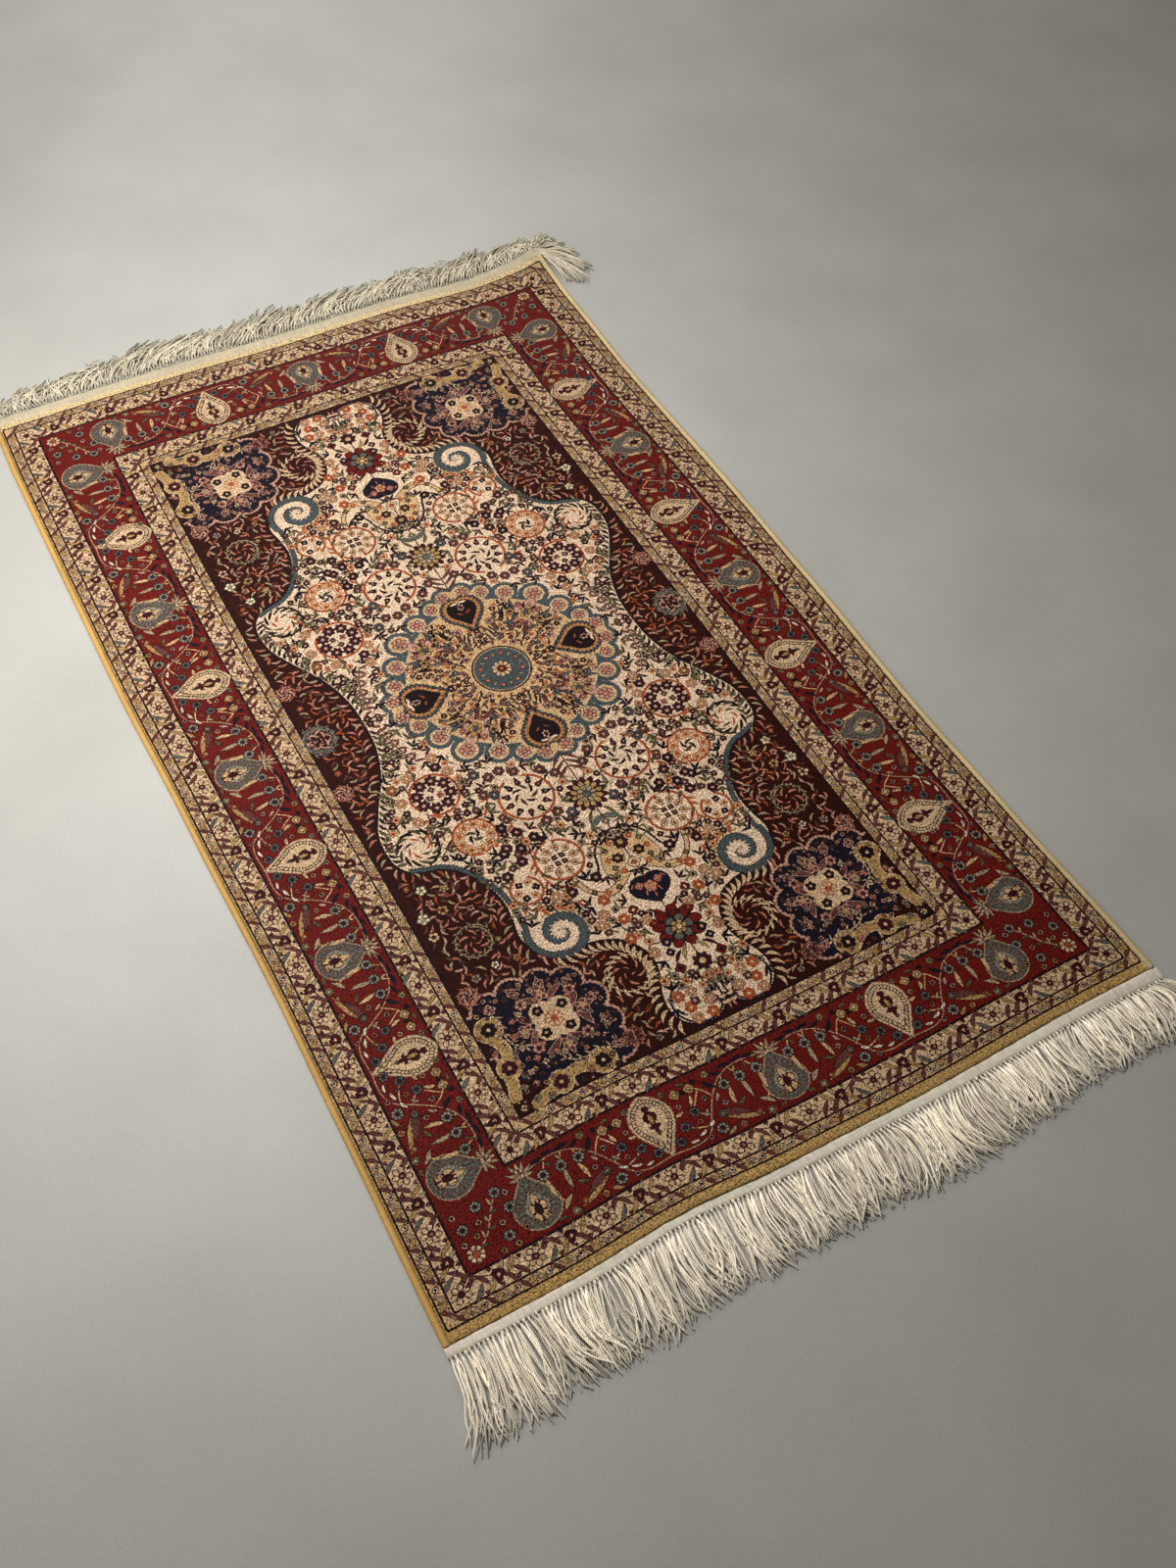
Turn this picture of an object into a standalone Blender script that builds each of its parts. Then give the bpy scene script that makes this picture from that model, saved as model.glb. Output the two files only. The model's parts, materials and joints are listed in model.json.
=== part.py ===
"""A silk rug lying flat on a floor, in metres with +Z up.

The rug is a knotted pile carpet with an overcast cord along each long side, and at each end a flat woven
heading whose warp ends hang out as a fringe. The origin is on the floor under the rug's middle, +X runs
across the rug, and +Y runs along it to the end called far. Every piece is first worked out on a true
rectangle, and lay() then moves its points to the slightly wavy way in which the rug lies.
"""

import math

import bpy
import numpy as np

HALF_WIDTH = 0.460          # from the middle to the outside of a side cord
HALF_LENGTH = 0.773         # from the middle to the end of the pile
THICKNESS = 0.006           # foundation and pile together
SHOULDER = 0.0016           # the pile rounds over by this much at its rim
SIDE_CORD_WIDTH = 0.008     # the overcast cord along each side
CLEARANCE = 0.0003          # left between pieces that are sewn together

CARPET_COLUMNS = 24
CARPET_ROWS = 34
SIDE_CORD_SIDES = 8

HEADING_THICKNESS = 0.003
STRAND_PITCH = 0.0070
STRAND_WIDTH = (0.0042, 0.0032)     # at the root and at the tip, measured along the heading
STRAND_HEIGHT = (0.0024, 0.0018)
STRAND_STEPS = 4
STRAND_TRIM = (0.94, 1.04)          # least and most share of the stated length
STRAND_BEND = 1.4                   # a strand leaves the heading square and leans over along its length
STRAND_RIPPLES = {"size": (0.0030, 0.0080), "length": (0.110, 0.310)}
STRAND_SEED = 11

LOCK_WIDTH = (0.0024, 0.0092)       # at the root and where it is thickest
LOCK_HEIGHT = (0.0024, 0.0070)
LOCK_FULL = 0.8                     # the share of its length at which a lock is full
LOCK_TAPER = 0.35                   # how much a lock thins to its tip
LOCK_STEPS = 6

# How far each edge lies outside the true rectangle, in millimetres, at places along that edge.
SIDE_EDGES = {
    "y": (-773, -500, -320, -50, 200, 450, 650, 773),
    "left": (4.8, 2.8, 1.3, 6.3, 11.5, 10.5, 9, 5),
    "right": (3.5, -3.8, -6.8, -1, 1.5, -1.8, 4, 8),
}
NEAR_EDGE = {"x": (-460, -320, -180, -50, 120, 350, 460), "out": (-2, -1, -7.5, -0.5, 2.5, -1.5, 0)}
FAR_EDGE = {"x": (-460, -280, -180, 0, 180, 330, 390, 460), "out": (1, 3.5, 2.5, -2, 1, -8, -4, 6)}

SIDE_FADE = 1.5             # how fast the waves of the sides and of the ends die out towards the middle
END_FADE = 3

# Width of the heading, length of the fringe from the heading's edge and how far its tips lie to +X, in
# millimetres, at places across the rug.
NEAR_FRINGE = {
    "x": (-460, -400, -340, -260, -180, -20, 90, 230, 320, 460),
    "heading": (12, 12, 12, 12, 10, 13, 13, 14, 14, 17),
    "length": (98, 96, 90, 93, 88, 82, 87, 75, 71, 72),
    "tips": (-9, 3, 8, -4, 5, 0, -6, 4, 0, 2),
}
FAR_FRINGE = {
    "x": (-460, -400, -340, -250, -180, -40, 130, 330, 410, 460),
    "heading": (19, 19, 19, 19, 20, 20, 20, 20, 20, 20),
    "length": (44, 52, 60, 72, 64, 68, 62, 68, 60, 34),
    "tips": (2, 14, 34, 44, 42, 46, 44, 30, 18, 10),
}

# The warp ends of the far right corner are turned round it. Each lock runs from the end of the heading
# through a bend to its tip, all in millimetres.
CORNER_LOCKS = (
    {"bend": (475, 764), "tip": (480, 694)},
    {"bend": (485, 772), "tip": (497, 684)},
    {"bend": (493, 779), "tip": (513, 702)},
    {"bend": (496, 790), "tip": (518, 740)},
    {"bend": (488, 803), "tip": (511, 782)},
    {"bend": (474, 812), "tip": (490, 821)},
)

CORNER_LIFT = 0.009         # the far right corner stands up by this much
LIFT_REACH = (0.125, 0.123) # along the far end and along the right side
LIFT_BAND = 0.021           # the heading lifts with the corner
FALL = (0.018, 0.030)       # within this much past the side and past the heading, yarn is back on the floor
UNDULATION = 0.0009         # height of the soft waves of the pile's top

GOLD_SILK = (0.50, 0.32, 0.10, 1.0)
RED_SILK = (0.24, 0.06, 0.04, 1.0)
WARP_CREAM = (0.78, 0.70, 0.56, 1.0)


def clear_scene():
    for obj in list(bpy.data.objects):
        bpy.data.objects.remove(obj, do_unlink=True)


def along(table, place, value, at):
    """The table's value in metres at places in metres, on smooth steps between its columns."""
    places = np.array(table[place]) / 1000
    values = np.array(table[value]) / 1000
    at = np.clip(at, places[0], places[-1])
    step = np.clip(np.searchsorted(places, at, side="right") - 1, 0, len(places) - 2)
    share = (at - places[step]) / (places[step + 1] - places[step])
    share = share * share * (3 - 2 * share)
    return values[step] + (values[step + 1] - values[step]) * share


def corner_lift(x, y):
    """How far the far right corner stands off the floor. Past the heading the fringe falls back to it."""
    from_fold_x = (x - (HALF_WIDTH - LIFT_REACH[0])) / LIFT_REACH[0]
    from_fold_y = (y - (HALF_LENGTH - LIFT_REACH[1])) / LIFT_REACH[1]
    rise = np.clip(from_fold_x + from_fold_y - 1, 0, 1.1) ** 2
    past_heading = np.clip((y - HALF_LENGTH - LIFT_BAND) / FALL[1], 0, 1)
    past_side = np.clip((x - HALF_WIDTH) / FALL[0], 0, 1)
    return CORNER_LIFT * rise * (1 - past_heading) * (1 - past_side)


def stations(half, count):
    """Places from -half to half: evenly spaced, with one more at each rim where the pile rounds over."""
    inner = np.linspace(-half + SHOULDER, half - SHOULDER, count - 1)
    return np.concatenate([[-half], inner, [half]])


def lay(points):
    """Moves points of the true rectangle to where the rug lies.

    Between the carpet's own rows and columns the edges run straight, so that what is sewn to them fits.
    """
    x, y, z = np.asarray(points, float).T
    columns = stations(HALF_WIDTH - SIDE_CORD_WIDTH, CARPET_COLUMNS)
    rows = stations(HALF_LENGTH, CARPET_ROWS)
    sideways = np.clip(x / HALF_WIDTH, -1, 1)
    endways = np.clip(y / HALF_LENGTH, -1, 1)
    left = np.interp(y, rows, along(SIDE_EDGES, "y", "left", rows))
    right = np.interp(y, rows, along(SIDE_EDGES, "y", "right", rows))
    near = np.interp(x, columns, along(NEAR_EDGE, "x", "out", columns))
    far = np.interp(x, columns, along(FAR_EDGE, "x", "out", columns))
    moved_x = x + np.where(x < 0, -left, right) * np.abs(sideways) ** SIDE_FADE
    moved_y = y + np.where(y < 0, -near, far) * np.abs(endways) ** END_FADE
    return np.column_stack([moved_x, moved_y, z + corner_lift(x, y)])


def principled(name, color, roughness, sheen):
    material = bpy.data.materials.new(name)
    material.use_nodes = True
    shader = material.node_tree.nodes["Principled BSDF"]
    shader.inputs["Base Color"].default_value = color
    shader.inputs["Roughness"].default_value = roughness
    shader.inputs["Metallic"].default_value = 0.0
    shader.inputs["Sheen Weight"].default_value = sheen
    return material


def add_solid(name, points, faces, material):
    mesh = bpy.data.meshes.new(name)
    mesh.from_pydata(lay(points).tolist(), [], faces)
    mesh.update()
    mesh.materials.append(material)
    solid = bpy.data.objects.new(name, mesh)
    bpy.context.scene.collection.objects.link(solid)
    return solid


def make_carpet(material):
    """The pile carpet: a slab with a flat back, a softly uneven top and rounded rims."""
    xs = stations(HALF_WIDTH - SIDE_CORD_WIDTH, CARPET_COLUMNS)
    ys = stations(HALF_LENGTH, CARPET_ROWS)
    x, y = np.meshgrid(xs, ys)
    cross_waves = np.sin(x * math.tau / 0.37 + 0.6) * np.cos(y * math.tau / 0.57 - 0.4)
    slant_waves = np.sin((0.35 * x - 0.94 * y) * math.tau / 0.31)
    top = THICKNESS + UNDULATION * (0.6 * cross_waves + 0.4 * slant_waves)
    on_rim = (np.abs(x) > xs[-2] + 1e-6) | (np.abs(y) > ys[-2] + 1e-6)
    top = np.where(on_rim, THICKNESS - SHOULDER, top)
    upper = np.column_stack([x.ravel(), y.ravel(), top.ravel()])
    lower = np.column_stack([x.ravel(), y.ravel(), np.zeros(x.size)])
    columns, rows = len(xs), len(ys)
    faces = []
    for row in range(rows - 1):
        for column in range(columns - 1):
            a = row * columns + column
            quad = (a, a + 1, a + 1 + columns, a + columns)
            faces.append(quad)
            faces.append(tuple(corner + x.size for corner in reversed(quad)))
    rim = list(range(columns))
    rim += [row * columns + columns - 1 for row in range(1, rows)]
    rim += [(rows - 1) * columns + column for column in range(columns - 2, -1, -1)]
    rim += [row * columns for row in range(rows - 2, 0, -1)]
    for here, there in zip(rim, rim[1:] + rim[:1]):
        faces.append((here, here + x.size, there + x.size, there))
    return add_solid("carpet", np.vstack([upper, lower]), faces, material)


def make_side_cord(name, side, material):
    """The overcast cord along one side: a flattened round carried along the edge, level underneath."""
    half = (SIDE_CORD_WIDTH - CLEARANCE) / 2
    middle = side * (HALF_WIDTH - half)
    turns = np.arange(SIDE_CORD_SIDES) * math.tau / SIDE_CORD_SIDES + math.pi / SIDE_CORD_SIDES
    across = half * np.cos(turns) / math.cos(math.pi / SIDE_CORD_SIDES)
    up = THICKNESS / 2 * (1 + np.sin(turns) / math.cos(math.pi / SIDE_CORD_SIDES))
    ys = stations(HALF_LENGTH, CARPET_ROWS)
    points = np.array([(middle + a, y, z) for y in ys for a, z in zip(across, up)])
    faces = []
    for step in range(len(ys) - 1):
        for turn in range(SIDE_CORD_SIDES):
            a = step * SIDE_CORD_SIDES + turn
            b = step * SIDE_CORD_SIDES + (turn + 1) % SIDE_CORD_SIDES
            faces.append((a, a + SIDE_CORD_SIDES, b + SIDE_CORD_SIDES, b))
    faces.append(tuple(range(SIDE_CORD_SIDES)))
    faces.append(tuple(range(len(points) - 1, len(points) - 1 - SIDE_CORD_SIDES, -1)))
    return add_solid(name, points, faces, material)


class Shell:
    """A closed surface being put together. A turned one is mirrored along Y, so its faces run backwards."""

    def __init__(self, turned):
        self.points = []
        self.faces = []
        self.turned = turned

    def point(self, x, y, z):
        self.points.append((x, -y if self.turned else y, z))
        return len(self.points) - 1

    def face(self, *corners):
        self.faces.append(corners[::-1] if self.turned else corners)

    def fan(self, apex, chain):
        for here, there in zip(chain, chain[1:]):
            self.face(apex, here, there)


def strand_line(table, root_x, phase, shares):
    """The x of one strand and how far it lies beyond the heading, at shares of its length."""
    length = along(table, "x", "length", root_x)
    lean = along(table, "x", "tips", root_x)
    for number, (size, wave) in enumerate(zip(STRAND_RIPPLES["size"], STRAND_RIPPLES["length"])):
        lean += size * math.sin(root_x * math.tau / wave + (phase if number == 0 else 0))
    return root_x + lean * shares ** STRAND_BEND, length * shares


def grown(sizes, share):
    return sizes[0] + (sizes[1] - sizes[0]) * share


def add_strand(shell, wall, middles, outs, shares):
    """A three-sided rod on the floor, and the cell of the heading's outer wall that it grows from.

    wall holds the cell's low and high corners at its left, then those at its right.
    """
    low_a, high_a, low_b, high_b = wall
    rings = []
    for x, out, share in zip(middles, outs, shares):
        half = grown(STRAND_WIDTH, share) / 2
        ridge = shell.point(x, out, grown(STRAND_HEIGHT, share))
        rings.append((shell.point(x - half, out, 0), ridge, shell.point(x + half, out, 0)))
    left, ridge, right = rings[0]
    shell.fan(high_a, (left, low_a))
    shell.fan(high_a, (high_b, ridge, left))
    shell.fan(high_b, (low_b, right, ridge))
    for (left_a, ridge_a, right_a), (left_b, ridge_b, right_b) in zip(rings, rings[1:]):
        shell.face(left_a, ridge_a, ridge_b, left_b)
        shell.face(ridge_a, right_a, right_b, ridge_b)
        shell.face(right_a, left_a, left_b, right_b)
    shell.face(*rings[-1])
    return left, right


def add_lock(shell, wall, root, lock):
    """A thick three-sided lock that leaves the heading's end towards +X and turns towards its tip."""
    low_a, high_a, low_b, high_b = wall
    bend, tip = np.array(lock["bend"]) / 1000, np.array(lock["tip"]) / 1000
    rings = []
    for share in np.linspace(0, 1, LOCK_STEPS + 1):
        middle = root * (1 - share) ** 2 + 2 * bend * share * (1 - share) + tip * share ** 2
        way = (bend - root) * (1 - share) + (tip - bend) * share if share > 0 else np.array((1.0, 0.0))
        way /= np.hypot(*way)
        swell = math.sin(min(share / LOCK_FULL, 1) * math.pi / 2) - LOCK_TAPER * share ** 3
        side = np.array((way[1], -way[0])) * grown(LOCK_WIDTH, swell) / 2
        ridge = shell.point(*middle, grown(LOCK_HEIGHT, swell))
        rings.append((shell.point(*(middle + side), 0), ridge, shell.point(*(middle - side), 0)))
    near, ridge, far = rings[0]
    shell.fan(high_a, (low_a, near, ridge, high_b))
    shell.fan(high_b, (ridge, far, low_b))
    for (near_a, ridge_a, far_a), (near_b, ridge_b, far_b) in zip(rings, rings[1:]):
        shell.face(near_a, near_b, ridge_b, ridge_a)
        shell.face(ridge_a, ridge_b, far_b, far_a)
        shell.face(far_a, far_b, near_b, near_a)
    shell.face(*reversed(rings[-1]))
    return near, far


def close_right_end(shell, locks, low, high):
    """The heading's end wall at +X, from low and high pairs of corners, with the locks that grow from it.

    It gives the points along the wall's lower and upper rim.
    """
    if not locks:
        shell.face(low[0], low[1], high[1], high[0])
        return low, high
    first, last = (shell.points[corner][1] for corner in low)
    marks = np.linspace(first, last, len(locks) + 1)
    lows = [low[0]] + [shell.point(HALF_WIDTH, y, 0) for y in marks[1:-1]] + [low[1]]
    highs = [high[0]] + [shell.point(HALF_WIDTH, y, HEADING_THICKNESS) for y in marks[1:-1]] + [high[1]]
    rim = [low[0]]
    for number, lock in enumerate(locks):
        root = np.array((HALF_WIDTH, marks[number:number + 2].mean()))
        wall = (lows[number], highs[number], lows[number + 1], highs[number + 1])
        rim += [*add_lock(shell, wall, root, lock), lows[number + 1]]
    return rim, highs


def make_fringe(name, turned, table, locks, material):
    """A heading strip with its strands, as one closed shell.

    The strip's outer wall is cut into one cell for each strand, which grows from its cell and lies on the
    floor. A turned fringe is the near one.
    """
    random = np.random.default_rng(STRAND_SEED)
    count = round(2 * HALF_WIDTH / STRAND_PITCH)
    edges = np.linspace(-HALF_WIDTH, HALF_WIDTH, count + 1)
    inner = HALF_LENGTH + CLEARANCE
    outer = inner + along(table, "x", "heading", edges)
    phase = 2.0 if turned else 0.4
    shares = np.linspace(0, 1, STRAND_STEPS + 1)
    shell = Shell(turned)
    inner_low = [shell.point(x, inner, 0) for x in edges]
    inner_high = [shell.point(x, inner, HEADING_THICKNESS) for x in edges]
    outer_low = [shell.point(x, y, 0) for x, y in zip(edges, outer)]
    outer_high = [shell.point(x, y, HEADING_THICKNESS) for x, y in zip(edges, outer)]
    low_rim, high_rim = close_right_end(
        shell, locks, (inner_low[-1], outer_low[-1]), (inner_high[-1], outer_high[-1])
    )
    shell.face(inner_low[0], inner_high[0], outer_high[0], outer_low[0])
    for cell in range(count):
        wall = (outer_low[cell], outer_high[cell], outer_low[cell + 1], outer_high[cell + 1])
        middles, outs = strand_line(table, edges[cell:cell + 2].mean(), phase, shares)
        outs = outer[cell:cell + 2].mean() + outs * random.uniform(0.94, 1.04)
        left, right = add_strand(shell, wall, middles, outs, shares)
        last = cell == count - 1
        rim_low = low_rim if last else (inner_low[cell + 1], wall[2])
        rim_high = high_rim if last else (inner_high[cell + 1], wall[3])
        shell.fan(inner_low[cell], (wall[0], left, right))
        shell.fan(right, (*reversed(rim_low), inner_low[cell]))
        shell.fan(inner_high[cell], (*rim_high, wall[1]))
        shell.face(inner_low[cell], inner_low[cell + 1], inner_high[cell + 1], inner_high[cell])
    return add_solid(name, shell.points, shell.faces, material)


def main():
    clear_scene()
    pile = principled("red and gold silk pile", RED_SILK, 0.6, 0.4)
    overcast = principled("gold silk overcasting", GOLD_SILK, 0.55, 0.3)
    warp = principled("cream warp yarn", WARP_CREAM, 0.8, 0.2)
    make_carpet(pile)
    make_side_cord("side_cord_left", -1, overcast)
    make_side_cord("side_cord_right", 1, overcast)
    make_fringe("fringe_near", True, NEAR_FRINGE, (), warp)
    make_fringe("fringe_far", False, FAR_FRINGE, CORNER_LOCKS, warp)


main()
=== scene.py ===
"""A hand-knotted silk rug on a pale floor: knotted pile with its woven design, overcast sides, flat woven
headings and knotted fringes.

Every size is in metres, with the origin on the floor under the rug's middle, +X across the rug and +Y
along it to the end called far. The design is drawn on the rug's true rectangle in millimetres, and lay()
moves whatever is made on it to the slightly wavy way in which the rug lies.
"""

import json
import math
from functools import partial

import bpy
import numpy as np
from bpy.props import FloatProperty, FloatVectorProperty, IntProperty, PointerProperty
from mathutils import Matrix, Vector

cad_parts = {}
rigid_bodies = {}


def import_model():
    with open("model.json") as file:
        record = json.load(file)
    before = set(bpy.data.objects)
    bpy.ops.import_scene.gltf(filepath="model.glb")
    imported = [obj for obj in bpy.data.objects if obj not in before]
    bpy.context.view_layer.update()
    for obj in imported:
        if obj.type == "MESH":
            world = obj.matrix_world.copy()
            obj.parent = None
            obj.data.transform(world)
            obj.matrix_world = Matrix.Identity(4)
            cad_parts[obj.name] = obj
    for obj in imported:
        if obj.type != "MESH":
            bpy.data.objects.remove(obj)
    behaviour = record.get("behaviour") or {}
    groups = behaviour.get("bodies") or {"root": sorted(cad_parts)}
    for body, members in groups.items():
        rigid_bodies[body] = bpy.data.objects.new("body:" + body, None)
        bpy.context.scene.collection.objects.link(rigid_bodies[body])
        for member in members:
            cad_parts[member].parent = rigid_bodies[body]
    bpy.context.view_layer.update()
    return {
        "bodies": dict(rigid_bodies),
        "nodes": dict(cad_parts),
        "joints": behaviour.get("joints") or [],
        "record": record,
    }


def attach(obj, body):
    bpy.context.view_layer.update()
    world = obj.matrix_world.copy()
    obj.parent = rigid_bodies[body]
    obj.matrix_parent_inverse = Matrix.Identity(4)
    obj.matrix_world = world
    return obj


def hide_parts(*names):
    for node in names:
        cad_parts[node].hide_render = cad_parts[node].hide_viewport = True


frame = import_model()

bl_info = {
    "name": "Silk rug",
    "version": (1, 0, 0),
    "blender": (4, 5, 0),
    "location": "3D View > Sidebar > Silk rug",
    "description": "Builds a hand-knotted silk rug with its pile, side cords, headings and fringes",
    "category": "Add Mesh",
}

HALF_WIDTH = 0.460          # from the middle to the outside of a side cord
HALF_LENGTH = 0.773         # from the middle to the end of the pile
THICKNESS = 0.0045          # from the floor to the pile's top
SHOULDER = 0.0016           # the pile's rim is rounded over on this radius
SIDE_CORD_WIDTH = 0.008
CLEARANCE = 0.0003          # left between pieces that are sewn together
FOUNDATION = (0.0002, 0.0012)   # heights of the foundation's back and top
FOUNDATION_INSET = 0.0005   # the foundation ends this far inside the pile
PILE_BACK = 0.0014          # height of the pile's back, just over the foundation
HEADING_THICKNESS = 0.003
HEADING_STATIONS = 461
CARPET_COLUMNS = 24         # stations across and along the rug at which its edges' waves are read
CARPET_ROWS = 34
UNDULATION = 0.0009         # height of the soft waves of the pile's top
CORD_STEPS = 13             # points along each cord of a fringe
CORD_SIDES = 5
BUNCH_CORDS = 18            # cords in each bunch of the turned corner

# How far each edge lies outside the true rectangle, in millimetres, at places along that edge.
SIDE_EDGES = {
    "y": (-773, -500, -320, -50, 200, 450, 650, 773),
    "left": (4.8, 2.8, 1.3, 6.3, 11.5, 10.5, 9, 5),
    "right": (3.5, -3.8, -6.8, -1, 1.5, -1.8, 4, 8),
}
NEAR_EDGE = {"x": (-460, -320, -180, -50, 120, 350, 460), "out": (-2, -1, -7.5, -0.5, 2.5, -1.5, 0)}
FAR_EDGE = {"x": (-460, -280, -180, 0, 180, 330, 390, 460), "out": (1, 3.5, 2.5, -2, 1, -8, -4, 6)}
SIDE_FADE = 1.5             # how fast the waves of the sides and of the ends die out towards the middle
END_FADE = 3
FAR_SHIFT = 0.005           # the pile's far end lies this much nearer than its edge's offset says
DRIFT = (-0.007, -0.007)    # how far the middle of the rug is pushed along X and Y, and how that fades
DRIFT_FADE = (3, 2.5)

# Width of the heading, length of the fringe from the heading's edge and how far its tips lie to +X, in
# millimetres, at places across the rug.
NEAR_FRINGE = {
    "x": (-460, -400, -340, -260, -180, -20, 90, 230, 320, 460),
    "heading": (12, 12, 12, 12, 10, 13, 13, 14, 14, 17),
    "length": (98, 96, 90, 93, 88, 82, 87, 75, 71, 72),
    "tips": (-9, 3, 8, -4, 5, 0, -6, 4, 0, 2),
}
FAR_FRINGE = {
    "x": (-460, -400, -340, -250, -180, -40, 130, 330, 410, 460),
    "heading": (19, 19, 19, 19, 20, 20, 20, 20, 20, 20),
    "length": (44, 52, 60, 72, 64, 68, 62, 68, 60, 34),
    "tips": (2, 14, 34, 44, 42, 46, 44, 30, 18, 10),
}

# The warp ends of the far right corner are turned round it: each bunch's bend and tip, in millimetres.
CORNER_LOCKS = (
    {"bend": (473, 768), "tip": (484, 702)},
    {"bend": (482, 770), "tip": (499, 692)},
    {"bend": (492, 768), "tip": (514, 716)},
    {"bend": (500, 778), "tip": (519, 732)},
    {"bend": (502, 786), "tip": (517, 762)},
    {"bend": (494, 800), "tip": (509, 792)},
    {"bend": (484, 812), "tip": (500, 816)},
    {"bend": (474, 818), "tip": (489, 827)},
)
# The side cord's loose end stands off the same corner in a loop through these places, in millimetres.
LOOSE_LOOP = ((466, 776), (466.5, 800), (466, 820), (463, 834), (457, 839), (451.5, 834), (450, 822),
              (452, 808))
CORNER_LIFT = 0.009         # the far right corner stands up by this much
LIFT_REACH = (0.125, 0.123)  # how much of the far end and of the right side lifts with it
LIFT_BAND = 0.021           # and this much past the pile's end, which is the heading
FALL = (0.018, 0.030)       # within this much past the side and past the heading, yarn is back on the floor
FAR_LIMIT = -0.475          # the far cords that lean out past this X are drawn in again,
FAR_PULL = 0.6              # by this share of what is past it

# Half width and half length, in millimetres, of the rectangles that part the design's bands.
BANDS = {
    "gold": (460, 773),
    "outer line": (449, 760.5),
    "outer stripe": (435, 747),
    "border": (406.5, 719),
    "border inside": (320, 628),
    "inner stripe": (292.5, 602),
    "field": (279, 588),
}

# The dyes by the names used below, as sRGB hex.
DYES = {
    "gold": "AF8B53",
    "tan": "BA966B",
    "ivory": "CFB193",
    "brown": "2B0C06",
    "red": "5F150F",
    "old gold": "9C7B4B",
    "cream": "C09F7B",
    "navy": "15111B",
    "teal": "404746",
    "rust": "904425",
    "burgundy": "371216",
    "dark": "1B0E0F",
    "blue grey": "55554C",
    "salmon": "A86853",
    "olive": "554E2F",
    "beige": "988364",
    "white": "CFC0A6",
    "orange": "9E5530",
    "mauve": "5A332C",
    "rose": "B08470",
    "silver": "7D796A",
    # painted light: a paler copy of gold, for the gold band where light falls on the right side and the far
    # end
    "lit gold": "CDB384",
}
DYE = {name: number for number, name in enumerate(DYES)}
DYE_PLACES = 32             # places on the colour ramp that turns a dye's number into its colour

# The other colours: sRGB hex and what each is.
YARNS = {
    "near heading": ("E8DDC6", "Cream yarn of the near heading"),
    "far heading": ("BDAF93", "Cream yarn of the far heading"),
    "warp": ("EFE4CF", "Undyed warp yarn of the near fringe"),
    "far warp": ("C0B69F", "The same yarn in the foundation and at the far end, greyer with use"),
    "left overcast": ("BE9140", "Gold silk wound round the left side's cord"),
    # painted light: the right side's overcasting is a paler copy of the gold, for the light that falls on it
    "right overcast": ("C6AE7C", "Gold silk wound round the right side's cord, paler for painted light"),
    "floor": ("B2AFA6", "Pale stone floor"),
}


def linear(hex_color):
    """Linear red, green and blue of an sRGB hex colour."""
    shares = np.array([int(hex_color[at:at + 2], 16) for at in (0, 2, 4)]) / 255
    return tuple(np.where(shares <= 0.04045, shares / 12.92, ((shares + 0.055) / 1.055) ** 2.4))


class RugSizes(bpy.types.PropertyGroup):
    cell: FloatProperty(
        name="Design cell", description="Size of the mesh cells that carry the woven design",
        default=0.00265, min=0.002, max=0.02, unit="LENGTH")
    knots: IntProperty(
        name="Knots", description="Knots along each heading, from each of which a tassel of cords hangs",
        default=184, min=20, max=230)
    cords: IntProperty(
        name="Cords a knot", description="Cords that hang from each knot", default=5, min=1, max=5)
    cord_radius: FloatProperty(
        name="Cord radius", description="Radius of one two-ply cord of the fringe",
        default=0.00095, min=0.0004, max=0.002, unit="LENGTH")
    wrap_pitch: FloatProperty(
        name="Wrap pitch", description="From one turn of the overcasting to the next",
        default=0.0022, min=0.001, max=0.006, unit="LENGTH")


class RugColours(bpy.types.PropertyGroup):
    __annotations__ = {
        name.replace(" ", "_"): FloatVectorProperty(
            name=name.capitalize(), description=about, subtype="COLOR", size=3, default=linear(value),
            min=0, max=1)
        for name, (value, about) in {
            **{name: (value, f"Silk dyed {name}") for name, value in DYES.items()}, **YARNS}.items()
    }


def along(table, place, value, at):
    """The table's value in metres at places in metres, on smooth steps between its columns."""
    places = np.array(table[place]) / 1000
    values = np.array(table[value]) / 1000
    at = np.clip(at, places[0], places[-1])
    step = np.clip(np.searchsorted(places, at, side="right") - 1, 0, len(places) - 2)
    share = (at - places[step]) / (places[step + 1] - places[step])
    share = share * share * (3 - 2 * share)
    return values[step] + (values[step + 1] - values[step]) * share


def corner_lift(x, y):
    """Height of the far right corner: the square of how far past the slanted fold line a place lies."""
    from_fold_x = (x - (HALF_WIDTH - LIFT_REACH[0])) / LIFT_REACH[0]
    from_fold_y = (y - (HALF_LENGTH - LIFT_REACH[1])) / LIFT_REACH[1]
    rise = np.clip(from_fold_x + from_fold_y - 1, 0, 1.1) ** 2
    past_heading = np.clip((y - HALF_LENGTH - LIFT_BAND) / FALL[1], 0, 1)
    past_side = np.clip((x - HALF_WIDTH) / FALL[0], 0, 1)
    return CORNER_LIFT * rise * (1 - past_heading) * (1 - past_side)


def stations(half, count):
    """Places from -half to half, evenly spaced but for one more at each rim."""
    inner = np.linspace(-half + SHOULDER, half - SHOULDER, count - 1)
    return np.concatenate([[-half], inner, [half]])


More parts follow.
